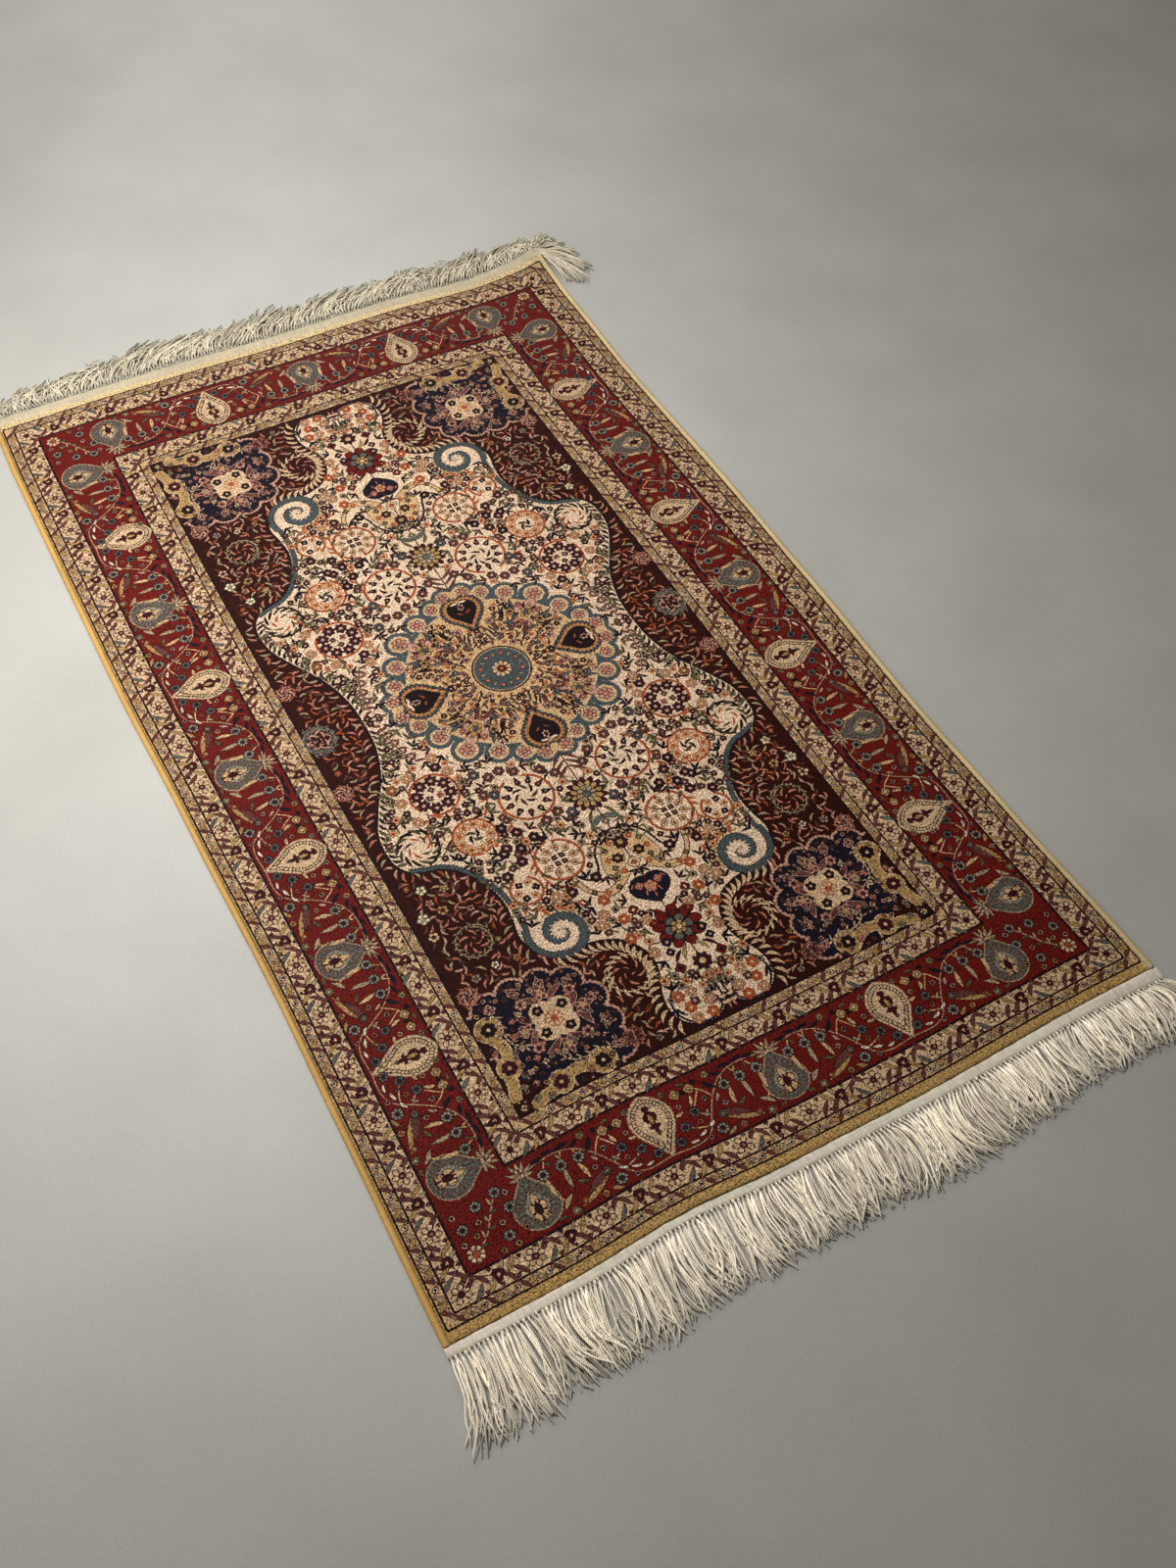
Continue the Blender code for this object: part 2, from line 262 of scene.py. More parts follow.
def lay(points):
    """Moves points (..., 3) of the true rectangle to where the rug lies.

    Each edge's offset is read at the point's place along the edge and fades towards the middle with a
    power of the distance from it, and the lifted corner's height is added.
    """
    points = np.asarray(points, float)
    x, y, z = points[..., 0], points[..., 1], points[..., 2]
    columns = stations(HALF_WIDTH - SIDE_CORD_WIDTH, CARPET_COLUMNS)
    rows = stations(HALF_LENGTH, CARPET_ROWS)
    sideways = np.clip(x / HALF_WIDTH, -1, 1)
    endways = np.clip(y / HALF_LENGTH, -1, 1)
    left = np.interp(y, rows, along(SIDE_EDGES, "y", "left", rows))
    right = np.interp(y, rows, along(SIDE_EDGES, "y", "right", rows))
    near = np.interp(x, columns, along(NEAR_EDGE, "x", "out", columns))
    far = np.interp(x, columns, along(FAR_EDGE, "x", "out", columns))
    moved_x = x + np.where(x < 0, -left, right) * np.abs(sideways) ** SIDE_FADE
    moved_y = y + np.where(y < 0, -near, far - FAR_SHIFT) * np.abs(endways) ** END_FADE
    moved_x += DRIFT[0] * (1 - np.abs(sideways) ** DRIFT_FADE[0]) * (1 - np.abs(endways) ** DRIFT_FADE[1])
    moved_y += DRIFT[1] * (1 - np.abs(endways) ** DRIFT_FADE[1])
    return np.stack([moved_x, moved_y, z + corner_lift(x, y)], axis=-1)


def mesh_piece(name, points, polygons, material, smooth_angle=None):
    """A piece from an array of points and a list of index arrays, one array for each number of corners."""
    mesh = bpy.data.meshes.new(name)
    corners = np.concatenate([np.ravel(faces) for faces in polygons]).astype(np.int32)
    counts = np.concatenate([np.full(len(faces), len(faces[0])) for faces in polygons])
    starts = np.concatenate([[0], np.cumsum(counts)[:-1]]).astype(np.int32)
    mesh.vertices.add(len(points))
    mesh.vertices.foreach_set("co", np.ravel(points).astype(np.float32))
    mesh.loops.add(len(corners))
    mesh.loops.foreach_set("vertex_index", corners)
    mesh.polygons.add(len(counts))
    mesh.polygons.foreach_set("loop_start", starts)
    mesh.update(calc_edges=True)
    if smooth_angle is not None:
        mesh.polygons.foreach_set("use_smooth", np.ones(len(counts), bool))
        mesh.set_sharp_from_angle(angle=math.radians(smooth_angle))
    mesh.materials.append(material)
    piece = bpy.data.objects.new(name, mesh)
    bpy.context.scene.collection.objects.link(piece)
    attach(piece, "root")
    return piece


def add_map(piece, name, places):
    """A UV map from an array of places, one for each face corner."""
    layer = piece.data.uv_layers.new(name=name)
    layer.uv.foreach_set("vector", np.ravel(places).astype(np.float32))


def node(tree, kind, inputs=None, out=0, **settings):
    """Adds one node, sets its properties and fills its inputs, linking those that are sockets.

    inputs are a tuple from the first input on, or a dict by number or name. What it hands back is the output
    numbered or named out, or the node itself where out is None.
    """
    made = tree.nodes.new(kind)
    for name, value in settings.items():
        setattr(made, name, value)
    for key, value in inputs.items() if isinstance(inputs, dict) else enumerate(inputs or ()):
        if isinstance(value, bpy.types.NodeSocket):
            tree.links.new(value, made.inputs[key])
        else:
            made.inputs[key].default_value = value
    return made if out is None else made.outputs[out]


def new_material(name):
    material = bpy.data.materials.new(name)
    material.use_nodes = True
    return material, material.node_tree, material.node_tree.nodes["Principled BSDF"]


MATH = "ShaderNodeMath"


def weighted(tree, start, *parts):
    """start plus each value times its weight, as a chain of nodes."""
    for value, weight in parts:
        start = node(tree, MATH, (value, weight, start), operation="MULTIPLY_ADD")
    return start


def stretched_noise(tree, spot, scale, detail=2.0):
    """Noise with its own scale along each axis, so that it lies in streaks."""
    stretched = node(tree, "ShaderNodeMapping", {"Vector": spot, "Scale": scale})
    return node(tree, "ShaderNodeTexNoise", {"Vector": stretched, "Scale": 1.0, "Detail": detail})


def finish_material(tree, shader, colour, light, constants, height=None, strength=0.6, distance=0.0005):
    """Colour times light, a bump from the height where one is given, and constants on the sockets."""
    lit = node(tree, "ShaderNodeVectorMath", {0: colour, "Scale": light}, operation="SCALE")
    tree.links.new(lit, shader.inputs["Base Color"])
    if height is not None:
        settings = {"Height": height, "Strength": strength, "Distance": distance}
        tree.links.new(node(tree, "ShaderNodeBump", settings, out="Normal"), shader.inputs["Normal"])
    for name, value in constants.items():
        shader.inputs[name].default_value = value


def motif_group():
    """Node group that lays one motif over the dye under it.

    In the motif's own coordinates its edge lies at 1 - notch * (1 - |cos(petals * t / 2)|) + point *
    (1 - |sin t|)^3, where t is the angle round its middle and point is the tip's length on the one half and
    the tail's on the other. The distance divided by the edge is the level: 1 at the rim, which has its own
    dye as the gaps between petals have, and less than core in its eye.
    """
    tree = bpy.data.node_groups.new("woven motif", "ShaderNodeTree")
    add = partial(node, tree)
    for name in ("Under", "Wobble"):
        tree.interface.new_socket(name, in_out="INPUT", socket_type="NodeSocketFloat")
    for name in ("Place", "Form", "Ends", "Dyes"):
        tree.interface.new_socket(name, in_out="INPUT", socket_type="NodeSocketVector")
    tree.interface.new_socket("Dye", in_out="OUTPUT", socket_type="NodeSocketFloat")
    given = add("NodeGroupInput", out=None).outputs
    place, form, ends, dyes = (
        add("ShaderNodeSeparateXYZ", (given[name],), out=None).outputs
        for name in ("Place", "Form", "Ends", "Dyes"))
    far = add("ShaderNodeVectorMath", (given["Place"],), out="Value", operation="LENGTH")
    turn = add(MATH, (place[1], place[0]), operation="ARCTAN2")
    half_turns = add(MATH, (form[0], 0.5), operation="MULTIPLY")
    beat = add(MATH, (turn, half_turns), operation="MULTIPLY")
    beat = add(MATH, (add(MATH, (beat,), operation="COSINE"),), operation="ABSOLUTE")
    dent = add(MATH, (beat, form[1], 1.0), operation="MULTIPLY_ADD")
    edge = add(MATH, (dent, form[1]), operation="SUBTRACT")
    front = add(MATH, (place[0], 0.0), operation="GREATER_THAN")
    amount = add("ShaderNodeMix", {0: front, 2: ends[1], 3: ends[0]})
    aside = add(MATH, (place[1],), operation="ABSOLUTE")
    aside = add(MATH, (aside, far), operation="DIVIDE")
    point = add(MATH, (add(MATH, (1.0, aside), operation="SUBTRACT"), 3.0), operation="POWER")
    edge = add(MATH, (point, amount, edge), operation="MULTIPLY_ADD")
    level = add(MATH, (far, edge), operation="DIVIDE")
    level = add(MATH, (given["Wobble"], ends[2], level), operation="MULTIPLY_ADD")
    rim = add(MATH, (ends[2], 1.35), operation="MULTIPLY")
    rim = add(MATH, (rim, 0.4), operation="MINIMUM")
    in_rim = add(MATH, (level, add(MATH, (1.0, rim), operation="SUBTRACT")), operation="GREATER_THAN")
    half_rim = add(MATH, (rim, 0.4), operation="MULTIPLY")
    ring = add(MATH, (level, form[2], half_rim), operation="COMPARE")
    in_core = add(MATH, (level, form[2]), operation="LESS_THAN")
    gap = add(MATH, (beat, 0.4), operation="LESS_THAN")
    in_petals = add(MATH, (1.0, in_core), operation="SUBTRACT")
    gap = add(MATH, (gap, in_petals), operation="MULTIPLY")
    many = add(MATH, (form[0], 4.5), operation="GREATER_THAN")
    gap = add(MATH, (gap, many), operation="MULTIPLY")
    drawn = add(MATH, (in_rim, add(MATH, (gap, ring), operation="MAXIMUM")), operation="MAXIMUM")
    dye = add("ShaderNodeMix", {0: in_core, 2: dyes[1], 3: dyes[2]})
    dye = add("ShaderNodeMix", {0: drawn, 2: dye, 3: dyes[0]})
    inside = add(MATH, (level, 1.0), operation="LESS_THAN")
    dye = add("ShaderNodeMix", {0: inside, 2: given["Under"], 3: dye})
    add("NodeGroupOutput", {"Dye": dye}, out=None)
    return tree


def silk_pile(colours):
    """Knotted silk: a close, short, cut pile. Each dye keeps to its own knots, the dyeing changes a little
    from row to row, and the lying pile gives a soft sheen at low angles."""
    material, tree, shader = new_material("knotted silk pile")
    add = partial(node, tree)
    spot = add("ShaderNodeTexCoord", out="Object")
    ragged = add("ShaderNodeTexNoise", {"Vector": spot, "Scale": 520.0, "Detail": 1.0})
    wobble = add(MATH, (ragged, 3.0, -1.5), operation="MULTIPLY_ADD")
    read = {
        name: add("ShaderNodeAttribute", out="Vector", attribute_name=name)
        for name in ("edge_place", "edge_form", "edge_dyes", "vine_place", "vine_form")}
    place, form, dyes, vine, vine_form = (
        add("ShaderNodeSeparateXYZ", (read[name],), out=None).outputs
        for name in ("edge_place", "edge_form", "edge_dyes", "vine_place", "vine_form"))
    far = add(MATH, (wobble, 0.6, place[0]), operation="MULTIPLY_ADD")
    widths = []
    for run, teeth, width in ((place[1], place[2], form[0]), (vine[1], vine_form[2], vine_form[0])):
        tooth = add(MATH, (run, 5.0), operation="DIVIDE")
        tooth = add(MATH, (tooth,), operation="FRACT")
        tooth = add(MATH, (tooth, 0.35), operation="SUBTRACT")
        swell = add(MATH, (tooth, teeth, 1.0), operation="MULTIPLY_ADD")
        widths.append(add(MATH, (swell, width), operation="MULTIPLY"))
    inside = add(MATH, (far, 0.0), operation="GREATER_THAN")
    dye = add("ShaderNodeMix", {0: inside, 2: dyes[0], 3: dyes[1]})
    in_band = add(MATH, (far, form[1]), operation="LESS_THAN")
    in_band = add(MATH, (in_band, inside), operation="MULTIPLY")
    dye = add("ShaderNodeMix", {0: in_band, 2: dye, 3: form[2]})
    off_line = add(MATH, (far,), operation="ABSOLUTE")
    on_line = add(MATH, (off_line, widths[0]), operation="LESS_THAN")
    dye = add("ShaderNodeMix", {0: on_line, 2: dye, 3: dyes[2]})
    off_vine = add(MATH, (wobble, 0.35, vine[0]), operation="MULTIPLY_ADD")
    off_vine = add(MATH, (off_vine,), operation="ABSOLUTE")
    on_vine = add(MATH, (off_vine, widths[1]), operation="LESS_THAN")
    to_rim = add(MATH, (widths[1], 1.3), operation="SUBTRACT")
    on_rim = add(MATH, (off_vine, to_rim), operation="GREATER_THAN")
    vine_dye = add("ShaderNodeMix", {0: on_rim, 2: vine_form[1], 3: vine[2]})
    group = motif_group()
    for layer in LAYERS:
        if layer == "leaf":
            dye = add("ShaderNodeMix", {0: on_vine, 2: dye, 3: vine_dye})
        motif = add("ShaderNodeGroup", out=None, node_tree=group)
        tree.links.new(dye, motif.inputs["Under"])
        tree.links.new(wobble, motif.inputs["Wobble"])
        for part in ("place", "form", "ends", "dyes"):
            read = add("ShaderNodeAttribute", out="Vector", attribute_name=f"{layer}_{part}")
            tree.links.new(read, motif.inputs[part.capitalize()])
        dye = motif.outputs["Dye"]
    share = add(MATH, (dye, 0.5), operation="ADD")
    share = add(MATH, (share, DYE_PLACES), operation="DIVIDE")
    ramp = add("ShaderNodeValToRGB", (share,), out=None)
    ramp.color_ramp.interpolation = "CONSTANT"
    stops = ramp.color_ramp.elements
    while len(stops) < len(DYES):
        stops.new(1.0)
    for number, name in enumerate(DYES):
        stops[number].position = number / DYE_PLACES
        stops[number].color = (*getattr(colours, name.replace(" ", "_")), 1)
    abrash = stretched_noise(tree, spot, (3.0, 60.0, 3.0), 3.0)
    tufts = stretched_noise(tree, spot, (440.0, 520.0, 440.0))
    light = weighted(tree, -1.45, (tufts, 4.4), (abrash, 0.50))
    finish_material(tree, shader, ramp.outputs[0], light, {
        "Roughness": 0.6, "IOR": 1.54, "Specular IOR Level": 0.04, "Sheen Weight": 0.02,
        "Sheen Roughness": 0.35, "Sheen Tint": (1, 0.86, 0.8, 1)}, tufts, 0.7, 0.0008)
    return material


def overcast_silk(name, colour, pitch):
    """Floss silk wound close round the edge cord: each turn stands up between two thin grooves, darkened
    there with painted shade, and its threads lie nearly across the edge."""
    material, tree, shader = new_material(name)
    add = partial(node, tree)
    spot = add("ShaderNodeTexCoord", out="Object")
    parts = add("ShaderNodeSeparateXYZ", (spot,), out=None).outputs
    turn = add(MATH, (parts[1], math.pi / pitch), operation="MULTIPLY")
    turn = add(MATH, (add(MATH, (turn,), operation="SINE"),), operation="ABSOLUTE")
    # painted shade: the colour falls off into the groove between two turns; the same value is the bump's
    # height
    ridge_and_groove_shade = add(MATH, (turn, 0.5), operation="POWER")
    threads = stretched_noise(tree, spot, (150.0, 900.0, 150.0))
    patches = add("ShaderNodeTexNoise", {"Vector": spot, "Scale": 14.0, "Detail": 2.0})
    light = weighted(tree, 0.10, (ridge_and_groove_shade, 0.45), (threads, 0.8), (patches, 0.5))
    finish_material(tree, shader, colour, light, {"Roughness": 0.5, "IOR": 1.54}, ridge_and_groove_shade)
    return material


def flat_weave(name, colour):
    """Undyed yarn in a plain weave: ribs along the warp, finer wefts across them, and a slub here and there.
    The threads are drawn about twice as coarse as real ones, which no picture at this distance shows."""
    material, tree, shader = new_material(name)
    add = partial(node, tree)
    spot = add("ShaderNodeTexCoord", out="Object")
    scales = ((620.0, 60.0, 60.0), (70.0, 760.0, 70.0), (9.0, 45.0, 9.0))
    ribs, wefts, slubs = (stretched_noise(tree, spot, scale) for scale in scales)
    light = weighted(tree, 0.05, (ribs, 0.75), (wefts, 0.65), (slubs, 0.5))
    finish_material(
        tree, shader, colour, light, {"Roughness": 0.85, "IOR": 1.5, "Specular IOR Level": 0.2}, light)
    return material


def two_ply_cord(name, colour):
    """Two plies of warp yarn twisted into a cord: a ply and a groove by turns, which wind round it, with
    painted shade in the groove. The map named Yarn runs once round the cord and in millimetres along it.
    Each cord has its own tone, the attribute strand, and painted shade makes it darker the lower it lies,
    as where it lies deep between others."""
    material, tree, shader = new_material(name)
    add = partial(node, tree)
    yarn = add("ShaderNodeUVMap", uv_map="Yarn")
    parts = add("ShaderNodeSeparateXYZ", (yarn,), out=None).outputs
    turns = add(MATH, (parts[0], 2.0), operation="MULTIPLY")
    turns = add(MATH, (parts[1], 1 / 2.6, turns), operation="MULTIPLY_ADD")
    turns = add(MATH, (turns, math.pi), operation="MULTIPLY")
    # ply is 1 on a ply and 0 in the groove between the plies; as light it paints shade into the groove
    ply = add(MATH, (add(MATH, (turns,), operation="SINE"),), operation="ABSOLUTE")
    ply = add(MATH, (ply, 0.6), operation="POWER")
    spot = add("ShaderNodeTexCoord", out="Object")
    fluff = add("ShaderNodeTexNoise", {"Vector": spot, "Scale": 420.0, "Detail": 2.0})
    strand = add("ShaderNodeAttribute", out="Fac", attribute_name="strand")
    height = add("ShaderNodeSeparateXYZ", (spot,), out=None).outputs[2]
    # painted shade: the lower a cord lies, the darker it is, as if in the shade of the cords over it
    depth = add(MATH, (height, 95.0, 0.42), operation="MULTIPLY_ADD")
    depth = add(MATH, (depth, 1.12), operation="MINIMUM")
    light = weighted(tree, -0.25, (ply, 1.1), (fluff, 0.60), (strand, 0.85))
    light = add(MATH, (light, depth), operation="MULTIPLY")
    finish_material(
        tree, shader, colour, light, {"Roughness": 0.8, "IOR": 1.5, "Specular IOR Level": 0.25}, ply, 0.8)
    return material


def stone(colour):
    """Honed pale stone: cloudy in patches a hand wide, with a fine grain and a dull gloss."""
    material, tree, shader = new_material("pale stone floor")
    add = partial(node, tree)
    spot = add("ShaderNodeTexCoord", out="Object")
    clouds = add("ShaderNodeTexNoise", {"Vector": spot, "Scale": 5.0, "Detail": 6.0})
    grain = add("ShaderNodeTexNoise", {"Vector": spot, "Scale": 260.0, "Detail": 2.0})
    light = weighted(tree, 0.75, (clouds, 0.30), (grain, 0.20))
    finish_material(tree, shader, colour, light, {"Roughness": 0.55, "IOR": 1.5})
    return material


# Motifs are laid in these layers, each over the one before it.
LAYERS = ("body", "leaf", "bloom", "eye")
# A frame is an origin with its way out and its way along. These four mirror the middle's quadrants.
FOUR = tuple(((0, 0), (sx, 0), (0, sy)) for sx in (1, -1) for sy in (1, -1))
VINE_STEP = 6


def smooth_line(points, step=VINE_STEP):
    """Points every step millimetres or so along a curve through the given ones.

    Between two points it is the cubic that leaves each along the line from its neighbour before to its
    neighbour after.
    """
    points = np.asarray(points, float)
    padded = np.vstack([2 * points[0] - points[1], points, 2 * points[-1] - points[-2]])
    runs = []
    for a, b, c, d in zip(padded, padded[1:], padded[2:], padded[3:]):
        count = max(round(np.linalg.norm(c - b) / step), 1)
        t = np.arange(count)[:, None] / count
        runs.append(0.5 * (2 * b + (c - a) * t + (2 * a - 5 * b + 4 * c - d) * t ** 2
                           + (3 * b - a - 3 * c + d) * t ** 3))
    return np.vstack([*runs, points[-1:]])


def arc(centre, radius, start, end, end_radius=None):
    """Points round a centre from one angle in degrees to another; a second radius makes it a spiral."""
    count = max(round(abs(math.radians(end - start)) * radius / VINE_STEP), 3)
    turn = np.radians(np.linspace(start, end, count + 1))
    reach = np.linspace(radius, radius if end_radius is None else end_radius, count + 1)
    return np.column_stack([centre[0] + reach * np.cos(turn), centre[1] + reach * np.sin(turn)])


def polar(centre, reach, turn):
    """The place that lies reach away from a centre, at turn degrees from its first axis."""
    way = math.radians(turn)
    return centre[0] + reach * math.cos(way), centre[1] + reach * math.sin(way)


def corners_of(lattice):
    """The values at each cell's four corners, from values at the grid's crossings."""
    return np.stack([lattice[:-1, :-1], lattice[:-1, 1:], lattice[1:, 1:], lattice[1:, :-1]], -1)


class Design:
    """The woven design on a grid of cells, in millimetres on the true rectangle.

    Each cell holds the nearest outline, the nearest vine and one motif of each layer. A motif is held as
    the places of the cell's corners in the motif's own coordinates, in which its edge lies at 1, so its
    shape is as sharp as the material that draws it and not as coarse as the cells.
    """

    def __init__(self, xs, ys):
        self.xs, self.ys = xs * 1000, ys * 1000
        cells = (len(ys) - 1, len(xs) - 1)
        self.layers = {}
        for layer in LAYERS:
            self.layers[layer] = {
                "place": np.full((*cells, 4, 3), 9, np.float32), "form": np.zeros((*cells, 3), np.float32),
                "ends": np.zeros((*cells, 3), np.float32), "dyes": np.zeros((*cells, 3), np.float32),
                "level": np.full(cells, 9.0)}
        self.vines = {
            "place": np.full((*cells, 4, 3), 99, np.float32), "form": np.zeros((*cells, 3), np.float32),
            "level": np.full(cells, 99.0)}
        self.edges = {
            "place": np.full((*cells, 4, 3), 99, np.float32), "form": np.zeros((*cells, 3), np.float32),
            "dyes": np.zeros((*cells, 3), np.float32), "level": np.full(cells, 999.0)}
        self.taken = []
        self.body, self.leaf, self.bloom, self.eye = (partial(self.motif, layer, FOUR) for layer in LAYERS)

    def near(self, frame, at, reach):
        """The cells within reach of a place of a frame, as slices, or None where there are none.

        With them come how far out and along the frame the grid's crossings there lie.
        """
        origin, out, along_way = frame
        x = origin[0] + at[0] * out[0] + at[1] * along_way[0]
        y = origin[1] + at[0] * out[1] + at[1] * along_way[1]
        first = np.searchsorted(self.xs, (x - reach, x + reach))
        second = np.searchsorted(self.ys, (y - reach, y + reach))
        columns = max(first[0] - 1, 0), min(first[1], len(self.xs) - 1)
        rows = max(second[0] - 1, 0), min(second[1], len(self.ys) - 1)
        if rows[0] >= rows[1] or columns[0] >= columns[1]:
            return None
        x = self.xs[None, columns[0]:columns[1] + 1] - origin[0]
        y = self.ys[rows[0]:rows[1] + 1, None] - origin[1]
        cut = (slice(*rows), slice(*columns))
        return cut, x * out[0] + y * out[1], x * along_way[0] + y * along_way[1]

    def motif(self, layer, frames, at, size, dyes, petals=0, notch=0.0, core=0.0, tip=0.0, tail=0.0,
              turn=0.0, bend=0.0):
        """Lays one motif at a place of each frame, into the cells that are nearer to it than to another.

        size is its radius, or its half length and half width; turn is in degrees from the frame's way out.
        dyes are those of its rim, its petals and its core. Where two are named, the core is like the petals.
        """
        length, width = size if isinstance(size, tuple) else (size, size)
        cos, sin = math.cos(math.radians(turn)), math.sin(math.radians(turn))
        reach = max(length * (1 + max(tip, tail, 0)), width) + 3
        kept = self.layers[layer]
        for frame in frames:
            found = self.near(frame, at, reach)
            if found is None:
                continue
            cut, across, ahead = found
            across, ahead = across - at[0], ahead - at[1]
            u = (across * cos + ahead * sin) / length
            v = (ahead * cos - across * sin) / width - bend * u ** 2
            u, v = corners_of(u), corners_of(v)
            middle_u, middle_v = u.mean(-1), v.mean(-1)
            far = np.hypot(middle_u, middle_v)
            point = (1 - np.abs(middle_v) / np.maximum(far, 1e-6)) ** 3
            level = far / (1 + np.where(middle_u > 0, tip, tail) * point)
            take = (level < kept["level"][cut]) & (level < 1 + 2.0 / min(length, width))
            kept["level"][cut][take] = level[take]
            kept["place"][cut][take] = np.stack([u, v, 0 * u], -1)[take]
            kept["form"][cut][take] = (petals, notch, core)
            kept["ends"][cut][take] = (tip, tail, 2 / (length + width))
            kept["dyes"][cut][take] = [DYE[dye] for dye in (*dyes, dyes[-1])[:3]]

    def vine(self, frames, line, half_width, dye, teeth=0.0, rim=None):
        """Draws a vine along a smooth line, with a rim of its own dye where one is named.

        teeth is how much its width swells and shrinks along it.
        """
        line = np.asarray(line, float)
        starts, ends = line[:-1], line[1:]
        lengths = np.linalg.norm(ends - starts, axis=1)
        ways = (ends - starts) / lengths[:, None]
        before = np.concatenate([[0], np.cumsum(lengths)[:-1]])
        for frame in frames:
            for start, way, length, run in zip(starts, ways, lengths, before):
                found = self.near(frame, start + way * length / 2, length / 2 + half_width + 3)
                if found is None:
                    continue
                cut, across, ahead = found
                across, ahead = across - start[0], ahead - start[1]
                along_it = corners_of(across * way[0] + ahead * way[1])
                off_it = corners_of(across * way[1] - ahead * way[0])
                over = np.maximum(np.abs(along_it.mean(-1) - length / 2) - length / 2, 0)
                far = np.hypot(off_it.mean(-1), over) - half_width
                take = (far < self.vines["level"][cut]) & (far < 2)
                self.vines["level"][cut][take] = far[take]
                edge = 0 * off_it + DYE[rim or dye]
                self.vines["place"][cut][take] = np.stack([off_it, along_it + run, edge], -1)[take]
                self.vines["form"][cut][take] = (half_width, DYE[dye], teeth)

    def outline(self, distance, along_it, dyes, line, band=0.0, band_dye="dark", teeth=0.0):
        """Draws an outline from its distance, more than 0 inside, and its length at the grid's crossings.

        dyes are those outside, inside and of the line, which is line wide to each side. A band of its own
        dye may run inside it.
        """
        far = corners_of(distance)
        middle = np.abs(far.mean(-1))
        take = middle < self.edges["level"]
        self.edges["level"][take] = middle[take]
        places = np.stack([far, corners_of(along_it), np.full(far.shape, teeth)], -1)
        self.edges["place"][take] = places[take]
        self.edges["form"][take] = (line, band, DYE[band_dye])
        self.edges["dyes"][take] = [DYE[dye] for dye in dyes]

    def take(self, x, y, reach):
        """Keeps the scattered filling away from a place of the quadrant."""
        self.taken.append((x, y, reach))

    def free(self, x, y):
        taken = np.array(self.taken)
        return bool((np.hypot(x - taken[:, 0], y - taken[:, 1]) > taken[:, 2]).all())


def run_along(half_x, half_y, pitch):
    """Frames for what repeats along a band, as (frames, step) for the long sides and then for the ends.

    Each frame's way out is square to the band, and its way along leads from the middle to a corner.
    """
    runs = []
    for upright, half, other in ((True, half_y, half_x), (False, half_x, half_y)):
        count = round(half / pitch)
        step = half / count
        frames = []
        for number in range(count):
            for sx in (1, -1):
                for sy in (1, -1):
                    if upright:
                        frames.append(((sx * other, sy * number * step), (sx, 0), (0, sy)))
                    else:
                        frames.append(((sx * number * step, sy * other), (0, sy), (sx, 0)))
        runs.append((frames, step))
    return runs


def corner_frames(half_x, half_y):
    return [((sx * half_x, sy * half_y), (sx, 0), (0, sy)) for sx in (1, -1) for sy in (1, -1)]


def band_middle(outside, inside):
    return tuple((a + b) / 2 for a, b in zip(BANDS[outside], BANDS[inside]))


def draw_bands(design):
    """The straight outlines between the bands: the distance to each rectangle is the lesser of the two."""
    x, y = np.meshgrid(design.xs, design.ys)
    for band, dyes, line in (
            ("outer line", ("gold", "tan", "dark"), 1.2), ("outer stripe", ("tan", "cream", "dark"), 1.3),
            ("border", ("cream", "red", "dark"), 1.6), ("border inside", ("red", "cream", "dark"), 1.6),
            ("inner stripe", ("cream", "tan", "dark"), 1.2), ("field", ("tan", "brown", "dark"), 1.6)):
        half_x, half_y = BANDS[band]
        to_side, to_end = half_x - np.abs(x), half_y - np.abs(y)
        design.outline(np.minimum(to_side, to_end), np.where(to_side < to_end, y, x), dyes, line)
    # painted light: the gold band along the right side and the far end takes the paler copy of gold
    pale = (x[1:, 1:] > BANDS["outer line"][0]) | (y[1:, 1:] > BANDS["outer line"][1])
    design.edges["dyes"][pale, 0] = DYE["lit gold"]


def draw_stripe(design, middle):
    """A narrow stripe: white florets with slanted leaves between them."""
    for frames, step in run_along(*middle, 38.4):
        design.motif("bloom", frames, (0, 0), 4.2, ("burgundy", "white", "burgundy"), 4, 0.25, 0.36)
        for share, dye in ((0.27, "beige"), (0.5, "old gold"), (0.74, "mauve")):
            turn = 42 if dye == "old gold" else -42
            design.motif("leaf", frames, (0, share * step), (8.0, 2.9), ("burgundy", dye), tip=0.3,
                         tail=0.3, turn=turn, bend=0.3)
        for place in ((2.5, 0.39), (-2.5, 0.62), (3, 0.13), (-3, 0.87)):
            design.motif("eye", frames, (place[0], place[1] * step), 2.1, ("burgundy", "rose"))


